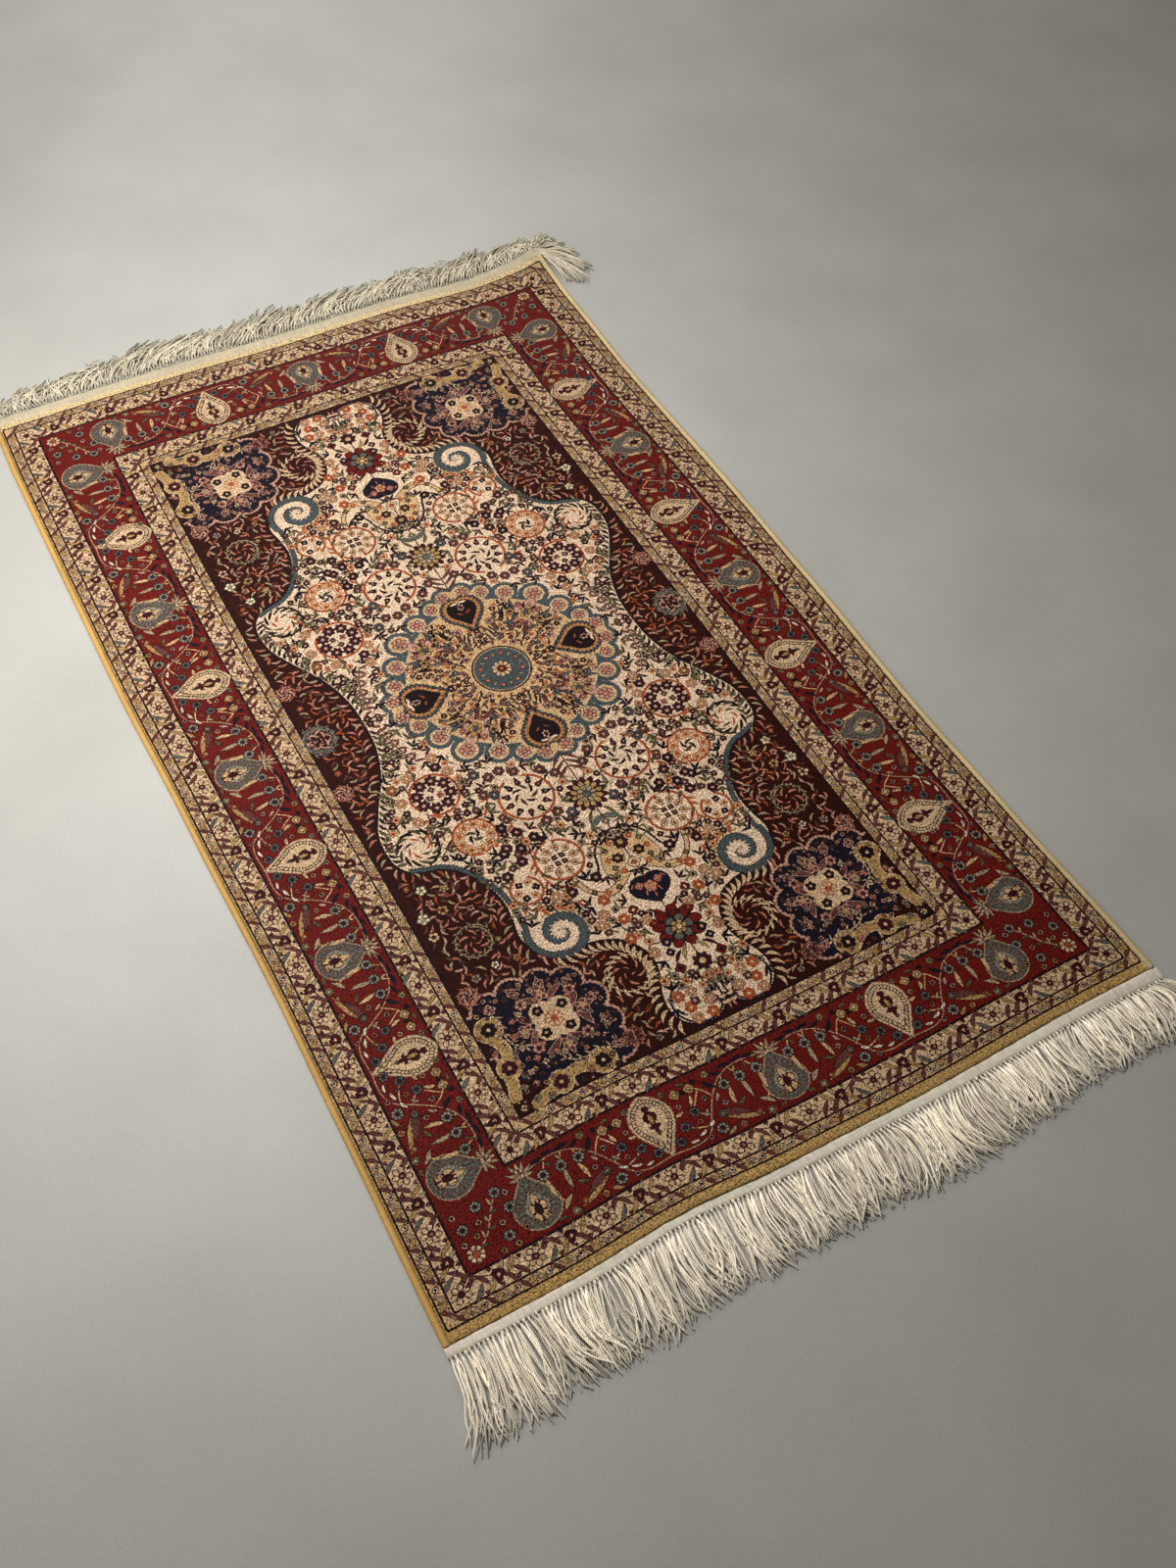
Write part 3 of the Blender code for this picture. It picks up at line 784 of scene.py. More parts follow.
def draw_guard(design, middle):
    """A guard: burgundy rosettes, tulips that look aside between them, leaves and a waving vine."""
    for frames, step in run_along(*middle, 76.75):
        wave = [(8 * math.sin(math.tau * share), share * step) for share in np.linspace(0, 1, 13)]
        design.vine(frames, wave, 0.7, "burgundy")
        design.motif("bloom", frames, (0, 0), 12, ("burgundy", "cream", "burgundy"), 7, 0.26, 0.34)
        design.motif("eye", frames, (0, 0), 2.4, ("burgundy", "salmon"))
        for side, share, dye, turn in (
                (5, 0.21, "mauve", -38), (-6, 0.30, "old gold", 35), (7, 0.36, "mauve", -30),
                (-7, 0.44, "beige", 40), (7, 0.62, "old gold", 36), (-5, 0.70, "mauve", -40),
                (8, 0.79, "blue grey", 40), (-8, 0.83, "mauve", 38)):
            design.motif("leaf", frames, (side, share * step), (9, 3.0), ("burgundy", dye), tip=0.4,
                         tail=0.3, turn=turn, bend=0.35)
        design.motif("bloom", frames, (-1, 0.5 * step), (8.5, 8), ("burgundy", "burgundy", "tan"), 3, 0.45,
                     0.3, tip=0.3, tail=0.3, turn=15)
        for side, share in ((-9.5, 0.18), (10, 0.29), (-10.5, 0.58), (10, 0.5), (10.5, 0.71), (-10, 0.93)):
            design.motif("bloom", frames, (side, share * step), 3.0, ("burgundy", "burgundy", "rose"), 3,
                         0.4, 0.3)
    design.motif("bloom", corner_frames(*middle), (0, 0), 12, ("burgundy", "cream", "burgundy"), 7, 0.26,
                 0.34)


def leaves_along(design, frames, line, dyes, size=(5.5, 1.9), pitch=9, spread=48):
    """Small leaves along a line, by turns to its one side and to its other."""
    line = np.asarray(line, float)
    run = np.concatenate([[0], np.cumsum(np.linalg.norm(np.diff(line, axis=0), axis=1))])
    for number, at in enumerate(np.arange(pitch / 2, run[-1], pitch)):
        place = np.array([np.interp(at, run, line[:, axis]) for axis in (0, 1)])
        later = np.array([np.interp(min(at + 2, run[-1]), run, line[:, axis]) for axis in (0, 1)])
        way = math.degrees(math.atan2(later[1] - place[1], later[0] - place[0]))
        side = 1 if number % 2 else -1
        turn = way + side * spread
        design.motif("leaf", frames, polar(place, size[0] * 0.9, turn), size, dyes[number % len(dyes)],
                     tip=0.4, tail=0.3, turn=turn, bend=-0.3 * side)


def blue_palmette(design, frames):
    """The border's blue-grey palmette: an onion with its tip inwards, feathered inside, and a fan there."""
    design.motif("body", frames, (13, 0), (26, 27), ("beige", "blue grey"), tip=0.62, turn=180)
    design.motif("leaf", frames, (13, 0), (23.5, 24), ("mauve", "blue grey", "silver"), 24, 0.08, 0.6,
                 tip=0.6, turn=180)
    design.motif("bloom", frames, (16, 0), (15, 11), ("burgundy", "tan", "burgundy"), 5, 0.3, 0.42, tip=0.5,
                 tail=0.3, turn=180)
    design.motif("eye", frames, (15, 0), (4.5, 3.6), ("dark", "burgundy"), tip=0.3, turn=180)
    for side in (1, -1):
        design.motif("eye", frames, (27, 7 * side), 2.6, ("burgundy", "old gold"), 3, 0.3)
        for turn, size in ((28, 10), (62, 9), (95, 7.5)):
            place = (-25 - 7 * math.cos(math.radians(turn)), 7 * side * math.sin(math.radians(turn)))
            design.motif("leaf", frames, place, (size, 2.4), ("burgundy", "beige"), tip=0.5, tail=0.3,
                         turn=180 - side * turn, bend=0.3 * side)
    design.motif("bloom", frames, (-30, 0), (9, 5), ("burgundy", "cream", "olive"), 5, 0.3, 0.3, tip=0.5,
                 turn=180)


def cream_palmette(design, frames):
    """The border's cream palmette: an onion with its tip outwards, a double rim and a dark flower."""
    design.motif("body", frames, (-12, 0), (29, 25.5), ("beige", "cream"), tip=0.75, tail=0.1)
    design.motif("leaf", frames, (-12, 0), (26, 22.5), ("dark", "cream"), 34, 0.03, 0.78, tip=0.7, tail=0.1)
    design.motif("bloom", frames, (-13, 0), (17, 8.5), ("burgundy", "burgundy", "old gold"), 7, 0.3, 0.36,
                 tip=0.4, tail=0.3)
    design.motif("eye", frames, (6, 0), 2.9, ("dark", "blue grey"), 4, 0.3)
    for place in ((-23, 4.5), (-7, 5)):
        for side in (1, -1):
            design.motif("eye", frames, (place[0], place[1] * side), 1.9, ("cream", "cream"))


# What stands on the red ground over half a repeat of the border, from a blue palmette to a cream one, in
# millimetres out from the band's middle and along it: place, size, rim, petals, core, number of petals.
BORDER_FLOWERS = (
    (-15, 21, 7.8, "dark", "silver", "burgundy", 8), (-15, 43, 7.8, "dark", "silver", "burgundy", 8),
    (-14, 64, 7.8, "dark", "silver", "burgundy", 8), (32, 93, 8, "dark", "silver", "burgundy", 8),
    (1, 110, 7, "navy", "blue grey", "burgundy", 7), (13, 128, 7, "navy", "blue grey", "burgundy", 7),
    (27, 141, 7, "navy", "blue grey", "burgundy", 7), (-27, 119, 7, "burgundy", "old gold", "cream", 4),
    (-27, 101, 7, "burgundy", "old gold", "cream", 4), (-26, 110, 3.6, "dark", "navy", "navy", 0),
    (-33, 93, 3.6, "dark", "navy", "navy", 0), (16, 84, 5.5, "dark", "blue grey", "salmon", 4),
    (-9, 92, 4.6, "burgundy", "beige", "burgundy", 5), (14, 110, 4.4, "burgundy", "orange", "burgundy", 4),
    (-12, 122, 4.2, "burgundy", "tan", "navy", 4), (38, 34, 5, "olive", "blue grey", "cream", 5),
    (33, 47, 4.4, "burgundy", "orange", "cream", 4), (38, 70, 5, "burgundy", "old gold", "rust", 4),
    (6, 74, 4.4, "burgundy", "rose", "navy", 4), (-34, 132, 4.6, "burgundy", "beige", "olive", 5),
    (-35, 77, 4.4, "olive", "beige", "burgundy", 5), (36, 110, 4.2, "burgundy", "rose", "navy", 4),
)
# The same for leaves: place, half length, half width, turn, bend and dye.
BORDER_LEAVES = (
    (1, 22, 12, 3, 4, 0.2, "tan"), (1, 43, 12, 3, -4, 0.3, "beige"), (2, 63, 11, 3, 12, -0.3, "tan"),
    (24, 31, 9, 3.2, -50, 0.4, "beige"), (31, 62, 19, 3.2, 112, 0.35, "old gold"),
    (22, 70, 14, 6.2, 118, 0.3, "mauve"), (13, 56, 7, 2.5, 60, 0.4, "olive"),
    (-33, 22, 7.5, 2.6, 95, 0.2, "navy"), (-36, 36, 7.5, 2.6, 80, 0.2, "navy"),
    (-35, 52, 8.5, 3, 95, -0.2, "navy"), (-30, 66, 7, 2.6, 110, 0.3, "navy"),
    (-21, 80, 8, 3.2, 140, 0.4, "navy"), (-4, 78, 6, 2.4, 30, 0.3, "rose"),
    (22, 100, 6, 2.4, 60, 0.3, "white"), (28, 114, 6.5, 2.4, 70, 0.3, "white"),
    (33, 128, 6, 2.2, 100, 0.3, "white"), (8, 98, 6, 2.2, 40, 0.3, "beige"),
    (-13, 106, 7, 2.6, 20, 0.4, "tan"), (-3, 126, 6, 2.6, 80, 0.3, "tan"),
    (39, 84, 7, 2.8, 60, 0.3, "old gold"), (2, 10, 7, 2.6, 40, 0.3, "olive"),
    (-26, 44, 5, 1.9, 30, 0.3, "tan"), (-24, 31, 5, 1.9, 30, 0.3, "olive"),
    (-36, 108, 6, 2.2, 100, 0.3, "olive"), (38, 18, 6, 2.4, 80, 0.3, "olive"),
    (20, 119, 4.5, 1.8, 10, 0.3, "olive"),
)


def draw_border(design):
    """The red main border: blue-grey and cream palmettes by turns, with rosettes on stems between them."""
    mid_x, mid_y = band_middle("border", "border inside")
    sides = {"blue": (0, 309, 612), "cream": (155, 462)}
    ends = {"blue": (0, 310), "cream": (156,)}
    placed = {"blue": [], "cream": []}
    halves = []
    for sx in (1, -1):
        for sy in (1, -1):
            for kind in placed:
                placed[kind] += [((sx * mid_x, sy * place), (sx, 0), (0, sy)) for place in sides[kind]]
                placed[kind] += [((sx * place, sy * mid_y), (0, sy), (sx, 0)) for place in ends[kind]]
            for place, way in ((0, 1), (309, -1), (309, 1), (612, -1)):
                halves.append(((sx * mid_x, sy * place), (sx, 0), (0, way * sy)))
            for place, way in ((0, 1), (310, -1)):
                halves.append(((sx * place, sy * mid_y), (0, sy), (way * sx, 0)))
    blue_palmette(design, placed["blue"])
    cream_palmette(design, placed["cream"])
    stem = smooth_line(((-26, 2), (-31, 22), (-31, 45), (-25, 64), (-8, 82), (12, 95), (30, 106), (38, 124),
                        (37, 152)))
    design.vine(halves, stem, 0.62, "beige")
    for points in (
            ((-31, 30), (-22, 25), (-15, 21)), ((-31, 50), (-22, 46), (-15, 43)), ((-26, 62), (-14, 64)),
            ((0, 22), (14, 24), (24, 30)), ((-8, 82), (-22, 92), (-27, 104), (-27, 122)),
            ((12, 95), (6, 104), (1, 110)), ((24, 102), (20, 116), (13, 128)), ((-20, 95), (-8, 104))):
        design.vine(halves, smooth_line(points), 0.7, "tan")
    for x, y, size, rim, petals, core, count in BORDER_FLOWERS:
        design.motif("bloom", halves, (x, y), size, (rim, petals, core), count, 0.22, 0.38)
    for x, y, length, width, turn, bend, dye in BORDER_LEAVES:
        design.motif("leaf", halves, (x, y), (length, width), ("burgundy", dye), tip=0.35, tail=0.3,
                     turn=turn, bend=bend)
    diagonal = smooth_line(((383, 700), (368, 686), (356, 668), (345, 652)))
    design.vine(FOUR, diagonal, 0.9, "beige")
    leaves_along(design, FOUR, diagonal, (("burgundy", "olive"), ("burgundy", "tan")), pitch=9)
    design.bloom((389, 702), 11, ("burgundy", "cream", "rust"), 8, 0.2, 0.4)
    for number, place in enumerate((
            (343, 650), (336, 672), (368, 655), (350, 700), (391, 672), (362, 712), (396, 688), (372, 672),
            (350, 684), (330, 700), (395, 655), (380, 685), (333, 655), (345, 712))):
        dyes = (("dark", "silver", "burgundy"), ("burgundy", "rose", "navy"),
                ("burgundy", "old gold", "navy"))
        design.bloom(place, 7.4 if number < 5 else 4.6, dyes[0 if number < 5 else 1 + number % 2],
                     8 if number < 5 else 4, 0.22, 0.36)


SHORE = ((201, -14), (201, 12), (204, 45), (217, 89), (241, 133), (259, 173), (261, 213), (251, 235),
         (232, 247), (212, 251), (193, 268), (176, 297), (168, 328), (170, 357), (174, 385), (163, 412),
         (138, 429), (104, 429), (76, 438), (60, 454), (52, 472), (51, 490), (56, 508), (65, 526), (69, 546),
         (65, 566), (51, 580), (33, 585), (14, 580), (3, 567), (0, 560))


def draw_shore(design):
    """The ivory ground's edge, measured to the nearest piece of a smooth line in one quadrant.

    A place is inside where a ray from it to +X crosses the line an odd number of times. Inside it runs a
    serrated blue-green band that ends in a horn; both sides are lined with leaves.
    """
    line = smooth_line(SHORE, 5)
    x, y = np.meshgrid(np.abs(design.xs), np.abs(design.ys))
    distance, run, inside = np.full(x.shape, 1e3), np.zeros(x.shape), np.zeros(x.shape, bool)
    near = (x < 300) & (y < 610)
    px, py = x[near], y[near]
    best, best_run, odd = distance[near], run[near], inside[near]
    before = 0
    for (x0, y0), (x1, y1) in zip(line, line[1:]):
        length = math.hypot(x1 - x0, y1 - y0)
        share = np.clip(((px - x0) * (x1 - x0) + (py - y0) * (y1 - y0)) / length ** 2, 0, 1)
        far = np.hypot(px - x0 - share * (x1 - x0), py - y0 - share * (y1 - y0))
        closer = far < best
        best[closer], best_run[closer] = far[closer], before + share[closer] * length
        if y0 != y1:
            crosses = (y0 > py) != (y1 > py)
            odd ^= crosses & (px < x0 + (py - y0) * (x1 - x0) / (y1 - y0))
        before += length
    distance[near], run[near], inside[near] = best, best_run, odd
    design.shore = np.where(inside, distance, -distance)
    design.outline(design.shore, run, ("brown", "ivory", "dark"), 1.7, teeth=0.5)
    band = smooth_line(((243, 238), (226, 244), (209, 249), (190, 264), (173, 291), (163, 318), (160, 345),
                        (161, 374)))
    design.vine(FOUR, band, 3.6, "teal", 0.5, "navy")
    for start, end, radius, last, width in (
            (-25, 60, 42, 32, 4.6), (60, 180, 32, 26, 5.9), (180, 280, 26, 20.5, 6.3),
            (280, 400, 20.5, 12.5, 5.4), (400, 520, 12.5, 6, 3.6), (520, 620, 6, 3, 1.9)):
        design.vine(FOUR, arc((126, 399), radius, start, end, last), width, "teal", 0.4, "navy")
    design.vine(FOUR, arc((126, 399), 35, 160, 285, 31), 1.5, "old gold", 0.9)
    for turn in range(120, 620, 24):
        reach = np.interp(turn, (150, 280, 400, 520, 620), (19.5, 13.5, 7, 3.5, 1)) - 1
        place = polar((126, 399), reach, turn)
        design.leaf(place, (3.6, 1.2), ("ivory", "ivory"), tip=0.5, turn=turn + 30, bend=0.4)
    design.vine(FOUR, arc((33, 552), 30, -75, 262), 1.4, "navy")
    design.take(126, 399, 34)
    ways = np.gradient(line, axis=0)
    ways /= np.linalg.norm(ways, axis=1)[:, None]
    for number, (place, way) in enumerate(zip(line, ways)):
        turn = math.degrees(math.atan2(way[1], way[0]))
        normal = np.array([-way[1], way[0]])
        if 14 < place[1] < 235 and number % 2:
            dye = ("dark", "olive", "navy")[number // 2 % 3]
            design.leaf(tuple(place + 7.0 * normal), (6.8, 2.2), ("dark", dye), tip=0.5, turn=turn + 50,
                        bend=0.6)
        low = place[1] > 425
        if place[1] < 575 and number % 2 == (0 if low else 1) and (low or number // 2 % 3):
            dye = "cream" if low else ("salmon", "rose", "salmon", "beige")[number // 2 % 4]
            size = (9, 2.9) if low else (7.6, 2.3)
            design.leaf(tuple(place - 8.5 * normal), size, ("brown", dye), tip=0.5, tail=0.2, turn=turn - 55,
                        bend=1.0)
            design.take(*(place - 8.5 * normal), 7)


# The discs whose union, mirrored on both axes, is the central medallion: middle and radius.
LOBES = ((0, 0, 131), (0, 124, 38), (13, 151, 15), (37, 139, 15), (67, 123, 16), (102, 102, 18))


def draw_medallion(design):
    """The central medallion: a scalloped tan ground, four framed hearts and a blue-green disc.

    The distance to its edge is the greatest of radius - distance to the middle over its discs.
    """
    x, y = np.meshgrid(np.abs(design.xs), np.abs(design.ys))
    inside = np.full(x.shape, -1e3)
    for lobe_x, lobe_y, radius in LOBES:
        for place in ((lobe_x, lobe_y), (lobe_y, lobe_x)):
            inside = np.maximum(inside, radius - np.hypot(x - place[0], y - place[1]))
    turn = np.arctan2(y, x)
    design.medallion = inside
    design.outline(inside, turn * 160, ("ivory", "tan", "teal"), 2.9, 5.2, "cream", teeth=0.6)
    far = np.hypot(x, y)
    design.outline(39.5 - far, turn * 40, ("tan", "teal", "burgundy"), 1.2, 2.8, "beige")
    middle = [((0, 0), (1, 0), (0, 1))]
    frames = []
    for way in ((1, 0), (0, 1), (-1, 0), (0, -1)):
        frames += [((0, 0), way, (-way[1] * side, way[0] * side)) for side in (1, -1)]
    for layer, dyes, size in (
            ("body", ("navy", "teal"), (29, 32)), ("leaf", ("rust", "old gold"), (24.5, 27)),
            ("bloom", ("dark", "dark"), (20, 21.5))):
        design.motif(layer, frames, (121, 0), size, dyes, 26, 0.06, tip=0.62, tail=-0.25, turn=180)
    design.motif("eye", frames, (125, 0), (7.5, 6), ("navy", "rose", "burgundy"), 6, 0.35, 0.4, tip=0.5)
    for side in (1, -1):
        design.motif("eye", frames, (114, 6 * side), (6, 1.8), ("navy", "rust"), tip=0.3, turn=60 * side,
                     bend=0.3)
        design.motif("eye", frames, (134, 5 * side), (7, 1.9), ("ivory", "ivory"), tail=0.3, turn=100 * side,
                     bend=-0.5 * side)
    for lobe_x, lobe_y, size in (
            (15, 151, 10), (38, 138, 9), (67, 122, 10), (102, 102, 11), (122, 67, 10), (138, 38, 9),
            (151, 15, 10)):
        turn = math.degrees(math.atan2(lobe_y, lobe_x))
        design.bloom((lobe_x, lobe_y), size, ("burgundy", "rose", "salmon"), 6, 0.25, 0.42, turn=turn)
        design.take(lobe_x, lobe_y, size + 1)
    design.motif("body", frames, (74, 74), (26, 20), ("burgundy", "rose", "tan"), 5, 0.25, 0.55, tip=0.5,
                 turn=45)
    design.motif("bloom", frames, (76, 76), (12, 9), ("burgundy", "old gold", "teal"), 5, 0.3, 0.4, tip=0.3,
                 turn=45)
    for place, turn, bend, dye in (
            ((96, 62), 10, 0.5, "teal"), ((62, 50), 60, 0.5, "mauve"), ((56, 92), 95, 0.4, "dark"),
            ((88, 44), 20, -0.5, "dark"), ((46, 66), 70, 0.5, "teal"), ((76, 26), 5, 0.5, "mauve")):
        design.motif("leaf", frames, place, (11, 3.4), ("burgundy", dye), tip=0.4, tail=0.3, turn=turn,
                     bend=bend)
    for reach, turn, size, dyes in (
            (104, 33, 7, ("burgundy", "old gold", "burgundy")), (88, 16, 7, ("burgundy", "rose", "teal")),
            (50, 45, 6, ("burgundy", "rose", "navy")), (62, 20, 5.5, ("burgundy", "teal", "rose")),
            (126, 27, 6.5, ("burgundy", "ivory", "rust")), (52, 0, 4.5, ("dark", "navy", "tan")),
            (64, 0, 4.5, ("burgundy", "red")), (75, 0, 5.5, ("dark", "navy", "rose")),
            (110, 20, 5, ("dark", "burgundy", "tan")), (118, 38, 5.5, ("burgundy", "salmon", "rose"))):
        place = polar((0, 0), reach, turn)
        design.motif("bloom", frames, place, size, dyes, 5, 0.25, 0.36, turn=turn)
        design.take(*place, size)
        design.take(place[1], place[0], size)
    for number in range(8):
        turn = number * 45
        design.motif("bloom", middle, polar((0, 0), 28, turn + 22.5), 4.8, ("burgundy", "salmon", "cream"),
                     5, 0.3, 0.35)
        design.motif("leaf", middle, polar((0, 0), 27, turn), (5, 2), ("navy", "beige"), tip=0.4, turn=turn)
    design.motif("bloom", middle, (0, 0), 14.5, ("burgundy", "cream", "red"), 10, 0.2, 0.45)
    design.motif("eye", middle, (0, 0), 3.2, ("burgundy", "old gold"))
    for place in ((0, 0, 44), (121, 0, 40), (0, 121, 40), (78, 78, 17)):
        design.take(*place)


# The discs that edge a corner medallion, in a quadrant: middle and radius.
CORNER_LOBES = ((205, 515, 64), (139, 560, 20), (136, 527, 19), (138, 492, 20), (153, 461, 20),
                (183, 449, 20), (216, 446, 20), (249, 452, 21), (270, 480, 30), (175, 580, 30),
                (255, 565, 40), (277, 587, 60))


def draw_corner_medallions(design):
    """A quarter's navy medallion, edged with small lobes, with a cream flower and gold arabesques."""
    x, y = np.meshgrid(np.abs(design.xs), np.abs(design.ys))
    inside = np.full(x.shape, -1e3)
    for lobe_x, lobe_y, radius in CORNER_LOBES:
        inside = np.maximum(inside, radius - np.hypot(x - lobe_x, y - lobe_y))
    inside[(x > 277) | (y > 587)] = -1e3
    design.corner = inside
    design.outline(inside, np.arctan2(y - 506, x - 199) * 80, ("brown", "navy", "rose"), 1.4, 2.8, "dark",
                   teeth=1.4)
    necks = smooth_line(((172, 576), (184, 569), (194, 566), (205, 567), (214, 571), (226, 576), (240, 578),
                        (252, 582)), 4)
    edges = smooth_line(((146, 562), (158, 557), (172, 558), (188, 557), (198, 551), (204, 540)), 4)
    heads = np.array(((165, 571), (219, 572)))
    lines = (necks, edges, heads)
    for neck, edge, head in (lines, [line[:, ::-1] - (310, -310) for line in lines]):
        design.vine(FOUR, neck, 7.0, "old gold", 0.2, "cream")
        design.vine(FOUR, edge, 0.9, "cream")
        leaves_along(design, FOUR, edge, (("dark", "cream"), ("dark", "rose")), (5.5, 1.6), 6, 50)
        for place, size, dye, eye in zip(head, (17, 15), ("dark", "burgundy"), ("cream", "tan")):
            design.body(tuple(place), size, ("cream", "old gold"))
            design.bloom(tuple(place), 10, (dye, dye, eye), 7, 0.2, 0.3)
    at = (188, 497)
    design.body(at, 32, ("dark", "cream"), 4, 0.26, turn=38)
    design.bloom(at, 11.5, ("rust", "cream", "rust"), 8, 0.2, 0.36)
    for turn in (0, 90, 180, 270):
        design.bloom(polar(at, 21, turn + 38), 7, ("dark", "dark", "rose"), 5, 0.25, 0.36)
        design.bloom(polar(at, 42, turn + 38), 8.5, ("mauve", "rose", "burgundy"), 6, 0.3, 0.4)
        design.bloom(polar(at, 37, turn), (11, 9), ("rose", "mauve", "old gold"), 5, 0.35, 0.35, tip=0.3,
                     turn=turn)
        for side in (1, -1):
            design.leaf(polar(at, 36, turn + 24 * side), (11, 4.2), ("rose", "mauve"), tip=0.35, tail=0.3,
                        turn=turn + 60 * side, bend=0.5 * side)
    for lobe_x, lobe_y, radius in CORNER_LOBES[1:8]:
        turn = math.degrees(math.atan2(lobe_y - at[1], lobe_x - at[0]))
        design.leaf((lobe_x, lobe_y), (8.5, 6.5), ("rose", "mauve", "navy"), 5, 0.35, 0.4, tip=0.3,
                    turn=turn)
        for side in (90, -90):
            design.bloom(polar((lobe_x, lobe_y), 11, turn + side), 3, ("navy", "rose", "old gold"), 3, 0.3,
                         0.4)
    for number, place in enumerate((
            (229, 533), (243, 545), (258, 558), (215, 520), (238, 514), (213, 538), (240, 497), (197, 541),
            (251, 545), (244, 560), (226, 500), (180, 533), (233, 478), (212, 466), (160, 535), (205, 536),
            (222, 474), (148, 509), (160, 476), (196, 452), (247, 516), (268, 505), (222, 541), (236, 582),
            (182, 575), (270, 580), (252, 576))):
        dyes = (("burgundy", "salmon", "rose"), ("navy", "cream", "old gold"),
                ("dark", "silver", "rust"))[number % 3]
        design.bloom(place, 5.2, dyes, 4, 0.3, 0.36, turn=number * 40)
    for place in np.concatenate(lines):
        design.take(*place, 9)
        design.take(*(place[::-1] - (310, -310)), 9)
    design.take(*at, 30)
    for turn in range(0, 360, 45):
        design.take(*polar(at, 38, turn), 11)


def scatter(design, inside, pitch, seed, lay_one):
    """Calls lay_one(place, random) at the free places of a jittered grid over one quadrant of the field."""
    random = np.random.default_rng(seed)
    for y in np.arange(pitch / 2, 600, pitch):
        for x in np.arange(pitch / 2, 290, pitch):
            place = np.array((x, y)) + random.uniform(-0.32, 0.32, 2) * pitch
            row = np.searchsorted(design.ys, place[1])
            column = np.searchsorted(design.xs, place[0])
            if inside(row, column, place) and design.free(*place):
                lay_one(tuple(place), random)


def ring_of(design, centre, radius, count, first, layer, size, dyes, petals=0, turned=0, **shape):
    """Equal motifs at even steps round a centre, each turned from the way out by turned degrees."""
    for number in range(count):
        turn = first + number * 360 / count
        design.motif(layer, FOUR, polar(centre, radius, turn), size, dyes[number % len(dyes)], petals,
                     0.3 if petals else 0, 0.34, turn=turn + turned, **shape)


# The ivory ground's coils: middle, radius, start and end in degrees, end radius and dye.
COILS = (
    ((69, 203), 36, -60, 250, 34, "rust"), ((155, 229), 30, 130, 480, 25, "rust"),
    ((170, 146), 33, 60, 390, 30, "rust"), ((78, 306), 31, -80, 260, 29, "rust"),
    ((134, 328), 21, -60, 230, 19, "rust"), ((224, 210), 29, 100, 330, 24, "dark"),
)
# Small rosettes that stand free on the ivory, and the flowers of the column along the axis: place, size,
# rim, petals and core dyes and number of petals.
FREE_FLOWERS = (
    (113, 143, "teal"), (98, 154, "mauve"), (82, 151, "mauve"), (66, 160, "mauve"), (116, 176, "mauve"),
    (35, 172, "mauve"), (46, 241, "mauve"), (64, 247, "mauve"), (30, 250, "teal"), (90, 262, "dark"),
    (139, 121, "beige"), (20, 186, "mauve"), (190, 108, "beige"), (104, 182, "teal"), (150, 108, "burgundy"),
    (212, 140, "beige"), (214, 116, "olive"), (148, 92, "beige"), (134, 268, "dark"), (120, 288, "burgundy"),
    (112, 270, "navy"), (146, 300, "burgundy"), (128, 262, "burgundy"), (206, 176, "beige"),
    (120, 232, "dark"), (106, 246, "burgundy"), (52, 350, "dark"), (108, 352, "beige"),
    (88, 356, "burgundy"), (70, 402, "beige"), (52, 418, "rust"), (80, 414, "beige"), (30, 432, "beige"),
    (58, 446, "rust"), (44, 476, "beige"), (60, 384, "rust"), (20, 558, "beige"), (44, 558, "rust"),
    (34, 540, "beige"), (24, 574, "rust"), (50, 540, "rust"), (44, 574, "beige"),
)
AXIS_FLOWERS = (
    ("body", 0, 234, 28, "dark", "burgundy", "old gold", 14),
    ("leaf", 0, 234, 22, "dark", "old gold", "navy", 12),
    ("bloom", 0, 234, 14, "dark", "beige", "blue grey", 8),
    ("bloom", 0, 318, 11, "dark", "burgundy", "old gold", 8),
    ("bloom", 15, 338, 8, "dark", "burgundy", "old gold", 6),
    ("bloom", 0, 352, 9, "dark", "cream", "rust", 4), ("bloom", 0, 392, 9, "rust", "rose", "old gold", 5),
    ("bloom", 13, 386, 6.5, "burgundy", "salmon", "rose", 4),
    ("body", 0, 456, 32, "dark", "red", "burgundy", 9), ("leaf", 0, 458, 19, "dark", "blue grey", "rust", 6),
    ("bloom", 0, 458, 11, "dark", "old gold", "cream", 6), ("bloom", 24, 470, 7, "dark", "navy", "rose", 4),
    ("bloom", 24, 440, 7, "dark", "red", "rust", 4), ("bloom", 36, 412, 7, "dark", "red", "cream", 4),
    ("bloom", 0, 511, 12.5, "dark", "burgundy", "tan", 8), ("bloom", 28, 508, 7.5, "dark", "red", "navy", 4),
    ("bloom", 27, 484, 6, "dark", "navy", "rose", 4), ("bloom", 36, 553, 7, "dark", "mauve", "rose", 5),
    ("bloom", 50, 331, 5, "dark", "burgundy", "rose", 4),
    ("bloom", 0, 282, 6, "olive", "blue grey", "rose", 4),
)


